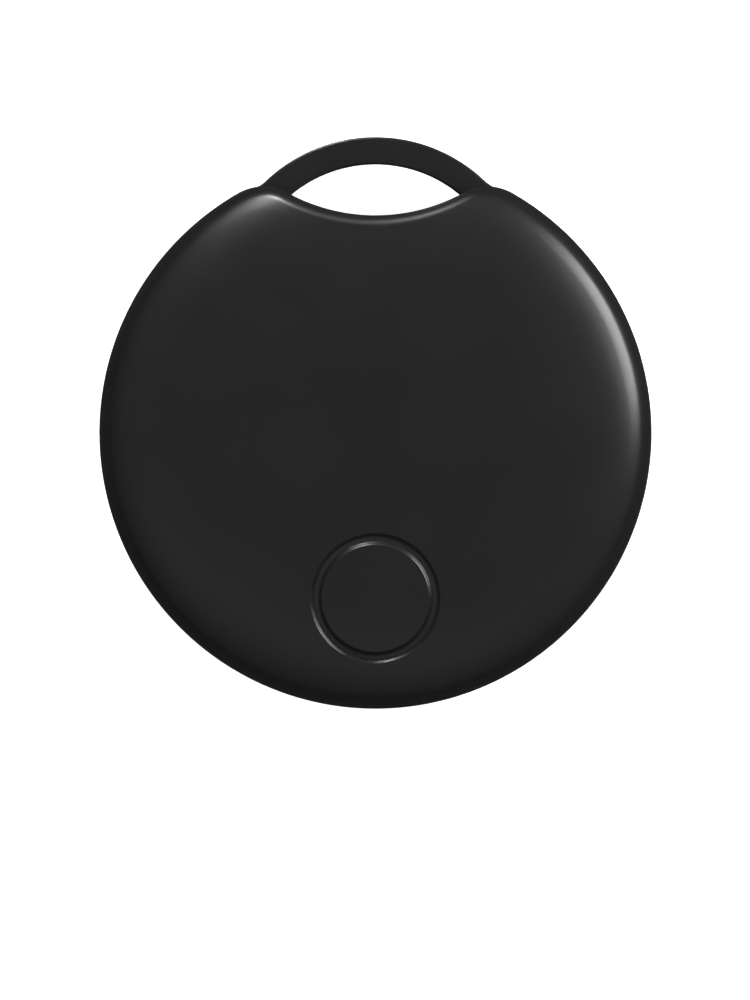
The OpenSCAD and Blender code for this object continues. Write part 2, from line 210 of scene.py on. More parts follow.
# The tray: the back, the rounded underside, the rim
insets = np.concatenate([np.linspace(3.2, 1.05, 14), 1.0 * np.linspace(1, 0, 22)[1:] ** 1.6]) * mm
core = outline(insets[0])
tray = loft("rear_cover_moulding",
            [at(core * s, belly(core * s)) for s in np.linspace(0.84, 0.985, 14)]
            + [at(outline(d), belly(outline(d), d)) for d in insets]
            + [at(outline(0), parting - 0.05 * mm), at(outline(0.05 * mm), parting)],
            (0, 0, 0), (0, 0, parting))

# The loop's bar, with webs that run out into the lobes
loop_in = loop_r - loop_w
side = loop_r + web_r
reach = lobe_r + web_r
span = math.hypot(lobe_x, lobe_y - loop_y)
along = (side ** 2 - reach ** 2 + span ** 2) / (2 * span)
away = math.sqrt(side ** 2 - along ** 2)
ux, uy = lobe_x / span, (lobe_y - loop_y) / span
web_x = along * ux - away * uy
web_y = loop_y + along * uy + away * ux
web_turn = math.atan2(web_x, web_y - loop_y)
lobe_meet = np.array([lobe_x, lobe_y]) + lobe_r / reach * np.array([web_x - lobe_x, web_y - lobe_y])
start_angle = math.atan2(loop_y - web_y, -web_x)
end_angle = math.atan2(lobe_meet[1] - web_y, lobe_meet[0] - web_x)
if end_angle < start_angle:
    end_angle += 2 * math.pi
bend = np.linspace(start_angle, end_angle, 18)
web_line = np.column_stack([web_x + web_r * np.cos(bend), web_y + web_r * np.sin(bend)])
crown_turns = np.linspace(0, web_turn, 60)[:-1]
crown_line = np.column_stack([loop_r * np.sin(crown_turns), loop_y + loop_r * np.cos(crown_turns)])
# Beyond the web the bar runs on inside the lobe, out of sight
into_lobe = [-0.9 * mm, -2.2 * mm]
end_turn = 1.1
buried = lobe_meet + np.outer(np.linspace(0.1, 1.0, 8), into_lobe)
right = np.concatenate([crown_line, web_line, buried])
outer_edge = np.concatenate([right[:0:-1] * [-1, 1], right])
inner_turns = np.interp(np.arange(len(outer_edge)), [0, 25, len(outer_edge) - 26, len(outer_edge) - 1],
                        [-end_turn, -web_turn, web_turn, end_turn])
inner_edge = np.column_stack([loop_in * np.sin(inner_turns), loop_y + loop_in * np.cos(inner_turns)])
# Round the section: each corner is a quarter circle
corner = np.linspace(0, math.pi / 2, 7)
section = []
for cx, cz, first in ((1, 1, 0), (0, 1, 1), (0, 0, 2), (1, 0, 3)):
    for a in corner + first * math.pi / 2:
        section.append((cx, cz, math.cos(a), math.sin(a)))
# Towards its ends the bar's outer side leans in as the case's underside does, so that no corner stands proud
first_web = len(crown_line)
lean = np.clip((np.arange(len(right)) - first_web) / (len(web_line) - 1), 0, 1)
lean = np.concatenate([lean[:0:-1], lean])


def undercut(z):
    """How far the case's rounded underside lies inside its outline at height z."""
    rise = np.clip((parting - rear_band - z) / (parting - rear_band), 0, 1)
    return (case_r - flat_r) * (1 - np.sqrt(1 - rise ** 2)) + 0.06 * mm


bars = []
for inner, outer, share in zip(inner_edge, outer_edge, lean):
    across = outer - inner
    width = np.linalg.norm(across)
    across = across / width
    ring = []
    for cx, cz, c, s in section:
        z = (parting - loop_edge if cz else parting - loop_t + loop_edge) + loop_edge * s
        u = (width - loop_edge if cx else loop_edge) + loop_edge * c
        if cx:
            u -= share * undercut(z)
        ring.append((*(inner + across * u), z))
    bars.append(np.array(ring))
loop_bar = loft("loop_bar", bars, bars[0].mean(0), bars[-1].mean(0))
combine(tray, [loop_bar], "UNION")

rim_in = 1.0 * mm
ledge_in = 1.75 * mm
floor_in = 3.2 * mm
ledge_z = 2.3 * mm
step_z = 1.7 * mm
floor_z = 1.1 * mm
above = parting + 1 * mm
sunk = 0.3 * mm
boss_r = 1.5 * mm
shank_r = 0.6 * mm
pilot_z = 0.6 * mm
seat_in = 6.6 * mm
sound_hole = 0.4 * mm
sound_ring = 2 * mm
combine(tray, [slab(rim_in, ledge_z, above), slab(ledge_in, step_z, above), slab(floor_in, floor_z, above)],
        "DIFFERENCE")
screws = [(-13.4 * mm, 5.6 * mm), (13.4 * mm, 5.6 * mm), (0, -15.1 * mm)]
board_low, board_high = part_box("circuit_board")
notch_line = np.array([(-1.5, 0.5), (1.5, 0.5), (1.5, -0.5), (-1.5, -0.5)]) * mm + [0, scallop_y]
bosses = [drum(boss_r, floor_z - sunk, board_low.z, x, y, 48) for x, y in screws]
ring_low, ring_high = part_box("buzzer_plate")
sounder_r = ring_high.x
ring_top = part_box("buzzer_adhesive")[0].z
sounder_seat = drum(sounder_r, floor_z - sunk, ring_top)
combine(sounder_seat, [drum(seat_in, 0, above)], "DIFFERENCE")
combine(tray, bosses + [sounder_seat], "UNION")
sound_places = [(0, 0)] + [(sound_ring * math.sin(a), sound_ring * math.cos(a))
                           for a in np.arange(6) * math.pi / 3]
holes = [drum(sound_hole, -1 * mm, above, x, y, 32) for x, y in sound_places]
holes += [drum(shank_r, pilot_z, above, x, y, 32) for x, y in screws]
# A notch at the parting line, in the wall that faces the loop's opening, for a coin or a blade
notch_z = parting - 0.5 * mm
holes.append(loft("notch", [at(notch_line, notch_z), at(notch_line, above)],
                  (0, scallop_y, notch_z), (0, scallop_y, above)))
combine(tray, holes, "DIFFERENCE")


def srgb(code):
    """A hex colour as linear values with alpha."""
    parts = [int(code[i:i + 2], 16) / 255 for i in (1, 3, 5)]
    return [c / 12.92 if c <= 0.04045 else ((c + 0.055) / 1.055) ** 2.4 for c in parts] + [1]


def add(tree, kind, settings=None, links=None):
    """Adds a shader node, sets its inputs or properties by name, and links the inputs named in links."""
    node = tree.nodes.new("ShaderNode" + kind)
    for name, value in (settings or {}).items():
        if isinstance(name, int) or name in node.inputs:
            node.inputs[name].default_value = value
        else:
            setattr(node, name, value)
    for name, source in (links or {}).items():
        tree.links.new(source, node.inputs[name])
    return node


def material(name):
    """A new material with an empty tree but for its output, and that tree."""
    made = bpy.data.materials.new(name)
    made.use_nodes = True
    made.node_tree.nodes.clear()
    return made, made.node_tree


def close(tree, shader):
    """Joins the shader to the material's output."""
    add(tree, "OutputMaterial", links={"Surface": shader.outputs[0]})


def fit(piece, body, slot, finish, *stands_for):
    """Gives a piece its material, hides the CAD nodes that it stands for and attaches it to its body; the
    slot is not used.
    """
    smooth(piece)
    piece.data.materials.clear()
    piece.data.materials.append(finish)
    if stands_for:
        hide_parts(*stands_for)
    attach(piece, body)


# Satin black ABS, moulded in a fine spark-eroded tool: an even, slightly soft sheen
abs_black, tree = material("satin_black_abs")
place = add(tree, "TexCoord").outputs["Object"]
grain = add(tree, "TexNoise", {"Scale": 1 / (0.4 * mm), "Detail": 1.0}, {"Vector": place})
haze = add(tree, "TexNoise", {"Scale": 1 / (6 * mm), "Detail": 3.0}, {"Vector": place})
rough = add(tree, "MapRange", {"From Min": 0.35, "From Max": 0.65, "To Min": 0.285, "To Max": 0.335},
            {"Value": haze.outputs["Fac"]})
bump = add(tree, "Bump", {"Strength": 0.04, "Distance": 0.01 * mm}, {"Height": grain.outputs["Fac"]})
shade = add(tree, "BsdfPrincipled", {"Base Color": srgb("#151515"), "IOR": 1.5},
            {"Roughness": rough.outputs["Result"], "Normal": bump.outputs["Normal"]})
close(tree, shade)
fit(tray, "rear_half", "case_black", abs_black, "rear_cover")

# ---- Seal gasket ----
# A flat silicone cord in grey, moulded in one closed loop. It lies on the ledge inside the tray's rim, and
# the front cover's tongue squeezes it when the two halves are pressed together.
gasket_low, gasket_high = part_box("seal_gasket")
gasket_out = 1.05 * mm
gasket_in = 1.7 * mm
gasket_cut = 0.15 * mm
guard = 1.2


def eased(corners, steps=5):
    """A profile's points from its corners, each (across, up, cut): a curve starts that far from the corner.

    A guard point just beyond each end of a curve keeps the flat beside it evenly shaded."""
    points = []
    for i, (across, up, cut) in enumerate(corners):
        here = np.array([across, up])
        if cut == 0:
            points.append(here)
            continue
        before = np.array(corners[i - 1][:2]) - here
        after = np.array(corners[(i + 1) % len(corners)][:2]) - here
        start = here + cut * before / np.linalg.norm(before)
        end = here + cut * after / np.linalg.norm(after)
        points.append(here + guard * (start - here))
        for t in np.linspace(0, 1, steps + 1):
            points.append((1 - t) ** 2 * start + 2 * t * (1 - t) * here + t ** 2 * end)
        points.append(here + guard * (end - here))
    return points


def tones(tree, value, places, colours):
    """A colour that runs from the first of two to the second as the value goes from place to place."""
    ramp = add(tree, "ValToRGB", links={"Fac": value})
    for stop, place, colour in zip(ramp.color_ramp.elements, places, colours):
        stop.position = place
        stop.color = srgb(colour)
    return ramp.outputs["Color"]


def moulded(name, dark, light, grain, roughness, depth, ior=1.5):
    """A moulded, pressed or fired body: its tone drifts a little, and its skin has a grain of that size."""
    made, tree = material(name)
    place = add(tree, "TexCoord").outputs["Object"]
    drift = add(tree, "TexNoise", {"Scale": 1 / (12 * grain), "Detail": 3.0}, {"Vector": place})
    grit = add(tree, "TexNoise", {"Scale": 1 / grain, "Detail": 2.0}, {"Vector": place})
    tone = tones(tree, drift.outputs["Fac"], (0.35, 0.65), (dark, light))
    rough = add(tree, "MapRange", {"From Min": 0.3, "From Max": 0.7, "To Min": roughness - 0.05,
                                   "To Max": roughness + 0.05}, {"Value": grit.outputs["Fac"]})
    bump = add(tree, "Bump", {"Strength": 0.3, "Distance": depth}, {"Height": grit.outputs["Fac"]})
    shade = add(tree, "BsdfPrincipled", {"IOR": ior},
                {"Base Color": tone, "Roughness": rough.outputs["Result"],
                 "Normal": bump.outputs["Normal"]})
    close(tree, shade)
    return made


# Silicone rubber, grey filled: matt, with the faint orange peel of its mould
grey_silicone = moulded("grey_silicone", "#55565a", "#626367", 0.08 * mm, 0.6, 0.02 * mm, ior=1.41)
section = eased([(gasket_out, gasket_low.z, gasket_cut), (gasket_out, gasket_high.z, gasket_cut),
                 (gasket_in, gasket_high.z, gasket_cut), (gasket_in, gasket_low.z, gasket_cut)])
gasket = loft("seal_gasket_cord", [at(outline(inset), z) for inset, z in section])
fit(gasket, "rear_half", "silicone_grey", grey_silicone, "seal_gasket")

# ---- Sound mesh ----
# A woven polyester mesh with a hot-pressed rim, stuck inside the back over the sound holes to keep dust and
# water out.
mesh_low, mesh_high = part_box("acoustic_mesh")
mesh_r = mesh_high.x
mesh_z = (mesh_low.z + mesh_high.z) / 2
rim_w = 0.3 * mm
pitch = 0.2 * mm
thread_r = 0.03 * mm
weave = 0.02 * mm
sides = 6


def join(name, pieces):
    """One piece made of several, which are removed."""
    work = bmesh.new()
    for piece in pieces:
        work.from_mesh(piece.data)
    mesh = bpy.data.meshes.new(name)
    work.to_mesh(mesh)
    work.free()
    for piece in pieces:
        bpy.data.objects.remove(piece)
    joined = bpy.data.objects.new(name, mesh)
    bpy.context.scene.collection.objects.link(joined)
    return joined


def lathe(name, profile, x=0.0, y=0.0, count=96, closed=False):
    """A turned piece from (radius, height) points: from axis to axis, or closed round a hole."""
    rings = [at(circle(radius, x, y, count), z) for radius, z in profile if radius > 0]
    if closed:
        return loft(name, rings)
    return loft(name, rings, (x, y, profile[0][1]), (x, y, profile[-1][1]))


def thread(across, lengthwise):
    """One wavy thread of the mesh: across is its place, and lengthwise says that it runs along Y."""
    half_length = math.sqrt((mesh_r - rim_w / 2) ** 2 - across ** 2)
    count = 2 * int(half_length / pitch * 2) + 1
    along = np.linspace(-half_length, half_length, count)
    phase = math.pi * (across / pitch + along / pitch)
    wave = mesh_z + weave * np.cos(phase) * (1 if lengthwise else -1)
    rings = []
    for step, z in zip(along, wave):
        turn = np.arange(sides) / sides * 2 * math.pi
        side = across + thread_r * np.cos(turn)
        rise = z + thread_r * np.sin(turn)
        run = np.full(sides, step)
        rings.append(np.column_stack([side, run, rise] if lengthwise else [run, side, rise]))
    return loft("thread", rings, rings[0].mean(0), rings[-1].mean(0))


side_threads = int((mesh_r - rim_w) / pitch)
places = np.arange(-side_threads, side_threads + 1) * pitch
threads = [thread(across, lengthwise) for across in places for lengthwise in (True, False)]
rim = lathe("rim", [(mesh_r - rim_w, mesh_low.z), (mesh_r, mesh_low.z), (mesh_r, mesh_high.z),
                    (mesh_r - rim_w, mesh_high.z)], closed=True)
mesh_piece = join("acoustic_mesh_weave", threads + [rim])
# Polyester monofilament, dyed grey: a soft sheen along each thread
polyester = moulded("grey_polyester", "#3f4043", "#4c4d50", 0.05 * mm, 0.45, 0.005 * mm, ior=1.57)
fit(mesh_piece, "rear_half", "mesh_grey", polyester, "acoustic_mesh")

# ---- Sounder ----
# A piezo bender: a rolled brass plate stuck to a ring in the tray with a bead of adhesive, a ceramic disc on
# it with a silvered face, and two sprung fingers from the board, one for each.
glue_low, glue_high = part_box("buzzer_adhesive")
ceramic_low, ceramic_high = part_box("buzzer_ceramic")
plate_edge = 0.04 * mm
silver_rim = 0.35 * mm


def rolled(name, dark, light, streak, roughness, depth, along=(1, 1, 1)):
    """A rolled or plated metal: fine lines of that width, drawn out along the axes with a small factor."""
    made, tree = material(name)
    place = add(tree, "TexCoord").outputs["Object"]
    drawn = add(tree, "Mapping", {"Scale": along}, {"Vector": place})
    lines = add(tree, "TexNoise", {"Scale": 1 / streak, "Detail": 3.0}, {"Vector": drawn.outputs["Vector"]})
    cloud = add(tree, "TexNoise", {"Scale": 1 / (1.5 * mm), "Detail": 3.0}, {"Vector": place})
    tone = tones(tree, cloud.outputs["Fac"], (0.35, 0.65), (dark, light))
    rough = add(tree, "MapRange", {"From Min": 0.3, "From Max": 0.7, "To Min": roughness - 0.03,
                                   "To Max": roughness + 0.03}, {"Value": lines.outputs["Fac"]})
    bump = add(tree, "Bump", {"Strength": 0.08, "Distance": depth}, {"Height": lines.outputs["Fac"]})
    shade = add(tree, "BsdfPrincipled", {"Metallic": 1.0},
                {"Base Color": tone, "Roughness": rough.outputs["Result"],
                 "Normal": bump.outputs["Normal"]})
    close(tree, shade)
    return made


# Rolled brass, a little dulled: warm yellow, with fine rolling lines along X
brass = rolled("rolled_brass", "#c79d52", "#d8b36a", 0.06 * mm, 0.32, 0.004 * mm, along=(0.08, 1, 1))
plate = lathe("buzzer_plate_disc", eased([(0, ring_low.z, 0), (sounder_r, ring_low.z, plate_edge),
                                          (sounder_r, ring_high.z, plate_edge), (0, ring_high.z, 0)]))
fit(plate, "rear_half", "brass", brass, "buzzer_plate")

# Epoxy adhesive, cured: translucent amber with a wet gloss
epoxy = moulded("cured_epoxy", "#c9b47f", "#d6c493", 0.3 * mm, 0.34, 0.02 * mm, ior=1.55)
glue_out = glue_high.x
glue_in = 6.7 * mm
glue_cut = 0.02 * mm
bead = lathe("buzzer_adhesive_bead", eased([(glue_in, glue_low.z, glue_cut), (glue_out, glue_low.z, glue_cut),
                                            (glue_out, glue_high.z, glue_cut),
                                            (glue_in, glue_high.z, glue_cut)]), closed=True)
fit(bead, "rear_half", "adhesive", epoxy, "buzzer_adhesive")

# Lead zirconate ceramic, fired, with a screen-printed silver face: pale grey, dull, faintly speckled
silvered = moulded("silvered_ceramic", "#b4b2ab", "#c6c4bc", 0.07 * mm, 0.42, 0.01 * mm, ior=2.2)
ceramic_r = ceramic_high.x
silver_step = 0.015 * mm
ceramic = lathe("buzzer_ceramic_disc", eased([
    (0, ceramic_low.z, 0), (ceramic_r, ceramic_low.z, plate_edge),
    (ceramic_r, ceramic_high.z - silver_step, plate_edge),
    (ceramic_r - silver_rim, ceramic_high.z - silver_step, 0),
    (ceramic_r - silver_rim - silver_step, ceramic_high.z, 0), (0, ceramic_high.z, 0)]))
fit(ceramic, "rear_half", "piezo_ceramic", silvered, "buzzer_ceramic")


def refinish(finish, *names):
    """Gives CAD nodes, whose shapes are right as they are, their material."""
    for name in names:
        for slot in nodes[name].material_slots:
            slot.material = finish


# Phosphor bronze strip, plated: paler than brass, with a springy sheen
bronze = rolled("phosphor_bronze", "#c2a06a", "#d2b27c", 0.05 * mm, 0.32, 0.003 * mm, along=(0.1, 1, 1))
refinish(bronze, "buzzer_contacts", "negative_contact")

# ---- Circuit board ----
# A laminate of glass cloth and epoxy under green solder mask. Copper tracks stand up faintly through the
# mask, and a fence of plated vias runs round the edge. Three screws hold it to the tray's bosses.
board_in = 1.95 * mm
board_cut = 0.04 * mm
screw_hole = 0.75 * mm
board_top = board_high.z
board_edge = [(board_in + board_cut, board_low.z), (board_in, board_low.z + board_cut),
              (board_in, board_top - board_cut), (board_in + board_cut, board_top)]
laminate = loft("circuit_board_laminate", [at(outline(inset), z) for inset, z in board_edge],
                (0, 0, board_low.z), (0, 0, board_top))
combine(laminate, [drum(screw_hole, 0, above, x, y, 48) for x, y in screws], "DIFFERENCE")
# Solder mask over copper pour and glass cloth: glossy green on both faces, raw tan laminate on the edge
solder_mask, tree = material("solder_mask_on_laminate")
coord = add(tree, "TexCoord")
place = coord.outputs["Object"]
upright = add(tree, "SeparateXYZ", links={"Vector": coord.outputs["Normal"]})
level = add(tree, "Math", {"operation": "ABSOLUTE"}, {0: upright.outputs["Z"]})
flat = add(tree, "Math", {"operation": "GREATER_THAN", 1: 0.6}, {0: level.outputs["Value"]})
cloth = add(tree, "TexBrick", {"Scale": 1 / (0.5 * mm), "Color1": srgb("#0d4a2f"), "Color2": srgb("#0f5133"),
                               "Mortar": srgb("#0b422a"), "Mortar Size": 0.06}, {"Vector": place})
cloud = add(tree, "TexNoise", {"Scale": 1 / (3 * mm), "Detail": 3.0}, {"Vector": place})
peel = add(tree, "TexNoise", {"Scale": 1 / (0.25 * mm), "Detail": 2.0}, {"Vector": place})
mask = add(tree, "MixRGB", {"Color2": srgb("#11583a")},
           {"Fac": cloud.outputs["Fac"], "Color1": cloth.outputs["Color"]})
tone = add(tree, "MixRGB", {"Color1": srgb("#9a8a5c")},
           {"Fac": flat.outputs["Value"], "Color2": mask.outputs["Color"]})
rough = add(tree, "MapRange", {"To Min": 0.75, "To Max": 0.28}, {"Value": flat.outputs["Value"]})
bump = add(tree, "Bump", {"Strength": 0.25, "Distance": 0.01 * mm}, {"Height": peel.outputs["Fac"]})
shade = add(tree, "BsdfPrincipled", {"IOR": 1.55},
            {"Base Color": tone.outputs["Color"], "Roughness": rough.outputs["Result"],
             "Normal": bump.outputs["Normal"]})
close(tree, shade)
fit(laminate, "rear_half", "board_green", solder_mask, "circuit_board")

track_w = 0.2 * mm
track_h = 0.02 * mm
track_lap = 0.01 * mm


def ribbon(points, width, low, high):
    """A flat strip along a line of points, with mitred bends."""
    line = np.array(points)
    steps = np.diff(line, axis=0)
    steps /= np.linalg.norm(steps, axis=1)[:, None]
    before = np.vstack([steps[:1], steps])
    after = np.vstack([steps, steps[-1:]])
    mean = before + after
    mean /= np.linalg.norm(mean, axis=1)[:, None]
    stretch = 1 / np.maximum(0.5, np.sum(mean * before, axis=1))
    away = np.column_stack([-mean[:, 1], mean[:, 0]]) * (width / 2 * stretch)[:, None]
    rings = [np.array([(*(p + a), low), (*(p - a), low), (*(p - a), high), (*(p + a), high)])
             for p, a in zip(line, away)]
    return loft("ribbon", rings, rings[0].mean(0), rings[-1].mean(0))


def rim_arc(radius, start, end):
    """Points along an arc about the case's axis, with angles in degrees clockwise from +Y."""
    turns = np.radians(np.linspace(start, end, max(2, int(abs(end - start) / 2))))
    return [(radius * math.sin(a), radius * math.cos(a)) for a in turns]


routes = [
    [(-11.4, -5.6), (-11.4, -6.4), (-10.1, -7.7)],
    [(-10.9, -5.6), (-10.9, -6.1), (-9.4, -7.6)],
    [(-13.2, -0.8), (-13.2, 0.9)],
    [(-14.1, -0.8), (-14.1, 0.9)],
    [(-14.6, -4.4), (-15.6, -4.4), (-15.9, -3.6), (-15.9, 2.2), (-15.0, 3.4), (-13.2, 3.4)],
    [(-9.8, -1.2), (-9.8, -0.4), (-10.8, 0.6), (-10.8, 3.2)],
    [(11.3, 7.4), (11.9, 6.8), (11.9, 3.2), (12.3, 2.4)],
    [(11.3, 8.6), (12.3, 8.6), (15.3, 5.6), (15.3, 0.0)],
    [(11.3, 9.8), (12.6, 9.8), (13.4, 9.0)],
    [(13.7, -3.0), (14.7, -2.0), (14.7, -1.3)],
    [(12.6, 0.4), (12.6, -0.6), (11.8, -1.4)],
    [(10.9, -4.8), (10.9, -5.4), (9.3, -7.0)],
    [(7.4, -8.4), (5.4, -10.4), (2.2, -10.4)],
    [(-2.2, -10.4), (-3.2, -9.4), (-3.2, -8.9)],
    [(-2.2, -12.4), (-3.6, -12.4), (-5.6, -10.4), (-5.6, -8.9)],
    [(-4.4, -7.9), (-4.4, -6.9), (-5.6, -6.5), (-7.6, -6.5)],
    [(2.2, -12.4), (2.8, -13.0), (2.8, -14.6)],
]
routes = [[(x * mm, y * mm) for x, y in route] for route in routes]
lanes = [14.35 * mm - 0.42 * mm * i for i in range(4)]
routes += [rim_arc(lane, 194 + i, 236 - 2 * i) for i, lane in enumerate(lanes)]
routes += [rim_arc(lane, 120 + 3 * i, 166 - i) for i, lane in enumerate(lanes[:3])]
tracks = join("board_tracks", [ribbon(route, track_w, board_top - track_lap, board_top + track_h)
                               for route in routes])
# The same mask over copper: a lighter green
masked_copper = moulded("mask_over_copper", "#1d7a4c", "#238655", 0.15 * mm, 0.34, 0.004 * mm, ior=1.55)
fit(tracks, "rear_half", "board_green", masked_copper)

via_r = 0.2 * mm
fence_r = 16.5 * mm
via_base = board_top - track_lap
via_top = board_top + track_h
dimple = 0.015 * mm
via_places = [(fence_r * math.sin(math.radians(a)), fence_r * math.cos(math.radians(a)))
              for a in range(64, 297, 8)]
via_places += [(x * mm, y * mm) for x, y in (
    (-13.2, 3.4), (-10.8, 3.2), (13.4, 9.0), (15.3, 0.0), (-7.6, -6.5),
    (6.2, -9.0), (9.8, -1.0), (-15.2, -0.6), (0.0, -8.2), (1.2, -8.2))]
via_profile = [(0, via_base), (via_r, via_base), (via_r, via_top), (via_r / 2, via_top),
               (via_r / 2, via_top - dimple), (0, via_top - dimple)]
vias = join("board_vias", [lathe("via", via_profile, x, y, 20) for x, y in via_places])
# Gold flash over nickel: rich yellow, clean and smooth
gold = rolled("gold_flash", "#d9b45c", "#e4c272", 0.08 * mm, 0.32, 0.002 * mm)
fit(vias, "rear_half", "gold_pad", gold)
refinish(gold, "test_pads")

# ---- Board screws ----
# Three nickel-plated steel screws with low round heads and cross recesses, driven through the board into the
# tray's bosses.
screw_low, screw_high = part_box("pcb_screws")
point_h = 0.4 * mm
head_r = 1.2 * mm
head_top_r = 0.8 * mm
head_side = 0.3 * mm
recess_w = 0.3 * mm
recess_l = 1.5 * mm
recess_z = screw_high.z - 0.3 * mm


def rounded_rectangle(width, depth, radius, steps=3):
    """A rectangle about the origin with round corners, clockwise from its +Y side."""
    points = []
    for sx, sy, first in ((1, 1, 0), (1, -1, 1), (-1, -1, 2), (-1, 1, 3)):
        for a in np.linspace(0, math.pi / 2, steps + 1) + first * math.pi / 2:
            points.append((sx * (width / 2 - radius) + radius * math.sin(a),
                           sy * (depth / 2 - radius) + radius * math.cos(a)))
    return np.array(points)


def brick(size, place, low, turn=0.0, cut=0.04 * mm, shift=(0.0, 0.0)):
    """A block with rounded edges, standing at height low on place and turned anticlockwise by degrees."""
    width, depth, height = size
    c, s = math.cos(math.radians(turn)), math.sin(math.radians(turn))
    rings = []
    levels = [(0, low)] + [(cut * (1 - math.cos(a)), low + height - cut * (1 - math.sin(a)))
                           for a in np.linspace(0, math.pi / 2, 4)]
    levels.append(((2 * guard - 1) * cut, low + height))
    for inset, z in levels:
        flat = rounded_rectangle(width - 2 * inset, depth - 2 * inset, max(cut - inset, 0.2 * cut)) + shift
        rings.append(at(flat @ np.array([[c, s], [-s, c]]) + place, z))
    return loft("brick", rings, rings[0].mean(0), rings[-1].mean(0))


screw_pieces = []
screw_profile = eased([(0, screw_low.z, 0), (shank_r / 2, screw_low.z, 0),
                       (shank_r, screw_low.z + point_h, 0), (shank_r, board_top, 0),
                       (head_r, board_top, 0.03 * mm), (head_r, board_top + head_side, 0.12 * mm),
                       (head_top_r, screw_high.z, 0.2 * mm), (0, screw_high.z, 0)])
for x, y in screws:
    screw = lathe("screw", screw_profile, x, y, 48)
    # No two drivers stop at the same turn
    turn = 20 + 400 * x / mm
    slots = [brick((recess_l, recess_w, 1 * mm), (x, y), recess_z, turn + extra, cut=0.02 * mm)
             for extra in (0, 90)]
    combine(screw, slots, "DIFFERENCE")
    screw_pieces.append(screw)
screw_set = join("board_screws", screw_pieces)
# Steel with bright nickel plating, lightly scuffed by the driver
nickel = rolled("nickel_plated_steel", "#b5b4b0", "#c8c7c2", 0.05 * mm, 0.32, 0.004 * mm)
fit(screw_set, "rear_half", "screw_steel", nickel, "pcb_screws")

# ---- Integrated circuits ----
# The Bluetooth chip and the motion sensor: black epoxy packages with no leads, soldered by pads along their
# sides, each with a dimple that marks its first pad. Both are moulded.
dimple_r = 0.28 * mm
pad_out = 0.03 * mm
package_lift = 0.03 * mm


def package(node, pads, pad_w, pad_l, dot_r):
    """A square package made from its CAD node's box, and the pads that show along its four sides."""
    low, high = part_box(node)
    centre = np.array([(low.x + high.x) / 2, (low.y + high.y) / 2])
    side = high.x - low.x
    body = brick((side, side, high.z - low.z - package_lift), centre, low.z + package_lift)
    mark = centre + [-side / 2 + 2.2 * dot_r, side / 2 - 2.2 * dot_r]
    combine(body, [drum(dot_r, high.z - 0.06 * mm, high.z + 1 * mm, mark[0], mark[1], 32)], "DIFFERENCE")
    spread = (np.arange(pads) - (pads - 1) / 2) * (side - 2 * pad_w) / pads
    feet = [brick((pad_w, pad_l, 0.2 * mm), centre, low.z - track_lap, turn, cut=0.02 * mm,
                  shift=(offset, side / 2 - pad_l / 2 + pad_out))
            for turn in (0, 90, 180, 270) for offset in spread]
    return body, feet


# Filled epoxy moulding compound: matt black, finely sandblasted by its mould
moulding = moulded("epoxy_moulding_compound", "#1b1b1d", "#232325", 0.06 * mm, 0.55, 0.012 * mm)
radio, radio_pads = package("bluetooth_chip", 10, 0.22 * mm, 0.4 * mm, dimple_r)
radio.name = "bluetooth_chip_package"
fit(radio, "rear_half", "chip_black", moulding, "bluetooth_chip")
sensor, sensor_pads = package("motion_sensor", 3, 0.28 * mm, 0.3 * mm, 0.16 * mm)
sensor.name = "motion_sensor_package"
fit(sensor, "rear_half", "chip_black", moulding, "motion_sensor")
solder = list(radio_pads) + list(sensor_pads)

# ---- Crystals ----
# The radio's crystal and the clock's: a fired ceramic tray closed by a seam-welded lid of plated alloy.
rim_lift = 0.06 * mm


def crystal(name, node, size, place, turn):
    """A ceramic tray with a metal lid on it, and a solder pad under each end."""
    low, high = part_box(node)
    height = high.z - low.z
    tray_h = 0.55 * height
    base = brick((size[0], size[1], tray_h), place, low.z, turn)
    lid = brick((size[0] - 0.3 * mm, size[1] - 0.3 * mm, height - tray_h + track_lap), place,
                low.z + tray_h - track_lap, turn, cut=0.07 * mm)
    flange = brick((size[0] - 0.12 * mm, size[1] - 0.12 * mm, rim_lift), place, low.z + tray_h, turn,
                   cut=0.02 * mm)
    ends = [brick((0.5 * mm, size[1] - 0.3 * mm, 0.16 * mm), place, low.z - track_lap, turn, cut=0.02 * mm,
                  shift=(sign * (size[0] / 2 - 0.22 * mm), 0)) for sign in (-1, 1)]
    cover = join(name, [lid, flange])
    fit(cover, "rear_half", "crystal_can", lid_metal, node)
    solder.extend(ends)
    return base


# Gold-flashed nickel alloy lid: pale and warm, satin from rolling
lid_metal = rolled("crystal_lid_alloy", "#b9b3a4", "#cbc6b8", 0.05 * mm, 0.33, 0.003 * mm, along=(1, 0.1, 1))
trays = [crystal("main_crystal_lid", "main_crystal", (2.5 * mm, 2 * mm), (-8.8 * mm, -8 * mm), -40),
         crystal("clock_crystal_lid", "clock_crystal", (3.2 * mm, 1.5 * mm), (-13.6 * mm, 1.6 * mm), 0)]
crystal_trays = join("crystal_trays", trays)
# Alumina, fired brown-black: dense, dull
alumina = moulded("dark_alumina", "#3b322c", "#473c35", 0.05 * mm, 0.5, 0.006 * mm, ior=1.76)
fit(crystal_trays, "rear_half", "crystal_can", alumina)

# ---- Antenna ----
# A chip antenna of white ceramic with a silver line printed in turns on its top and tinned ends, on the
# board's clear corner.
aerial_low, aerial_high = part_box("chip_antenna")
aerial = np.array([(aerial_low.x + aerial_high.x) / 2, (aerial_low.y + aerial_high.y) / 2])
aerial_size = (5 * mm, 1.6 * mm, aerial_high.z - aerial_low.z - track_h)
aerial_turn = 45
aerial_body = brick(aerial_size, aerial, aerial_low.z, aerial_turn)
aerial_body.name = "chip_antenna_body"
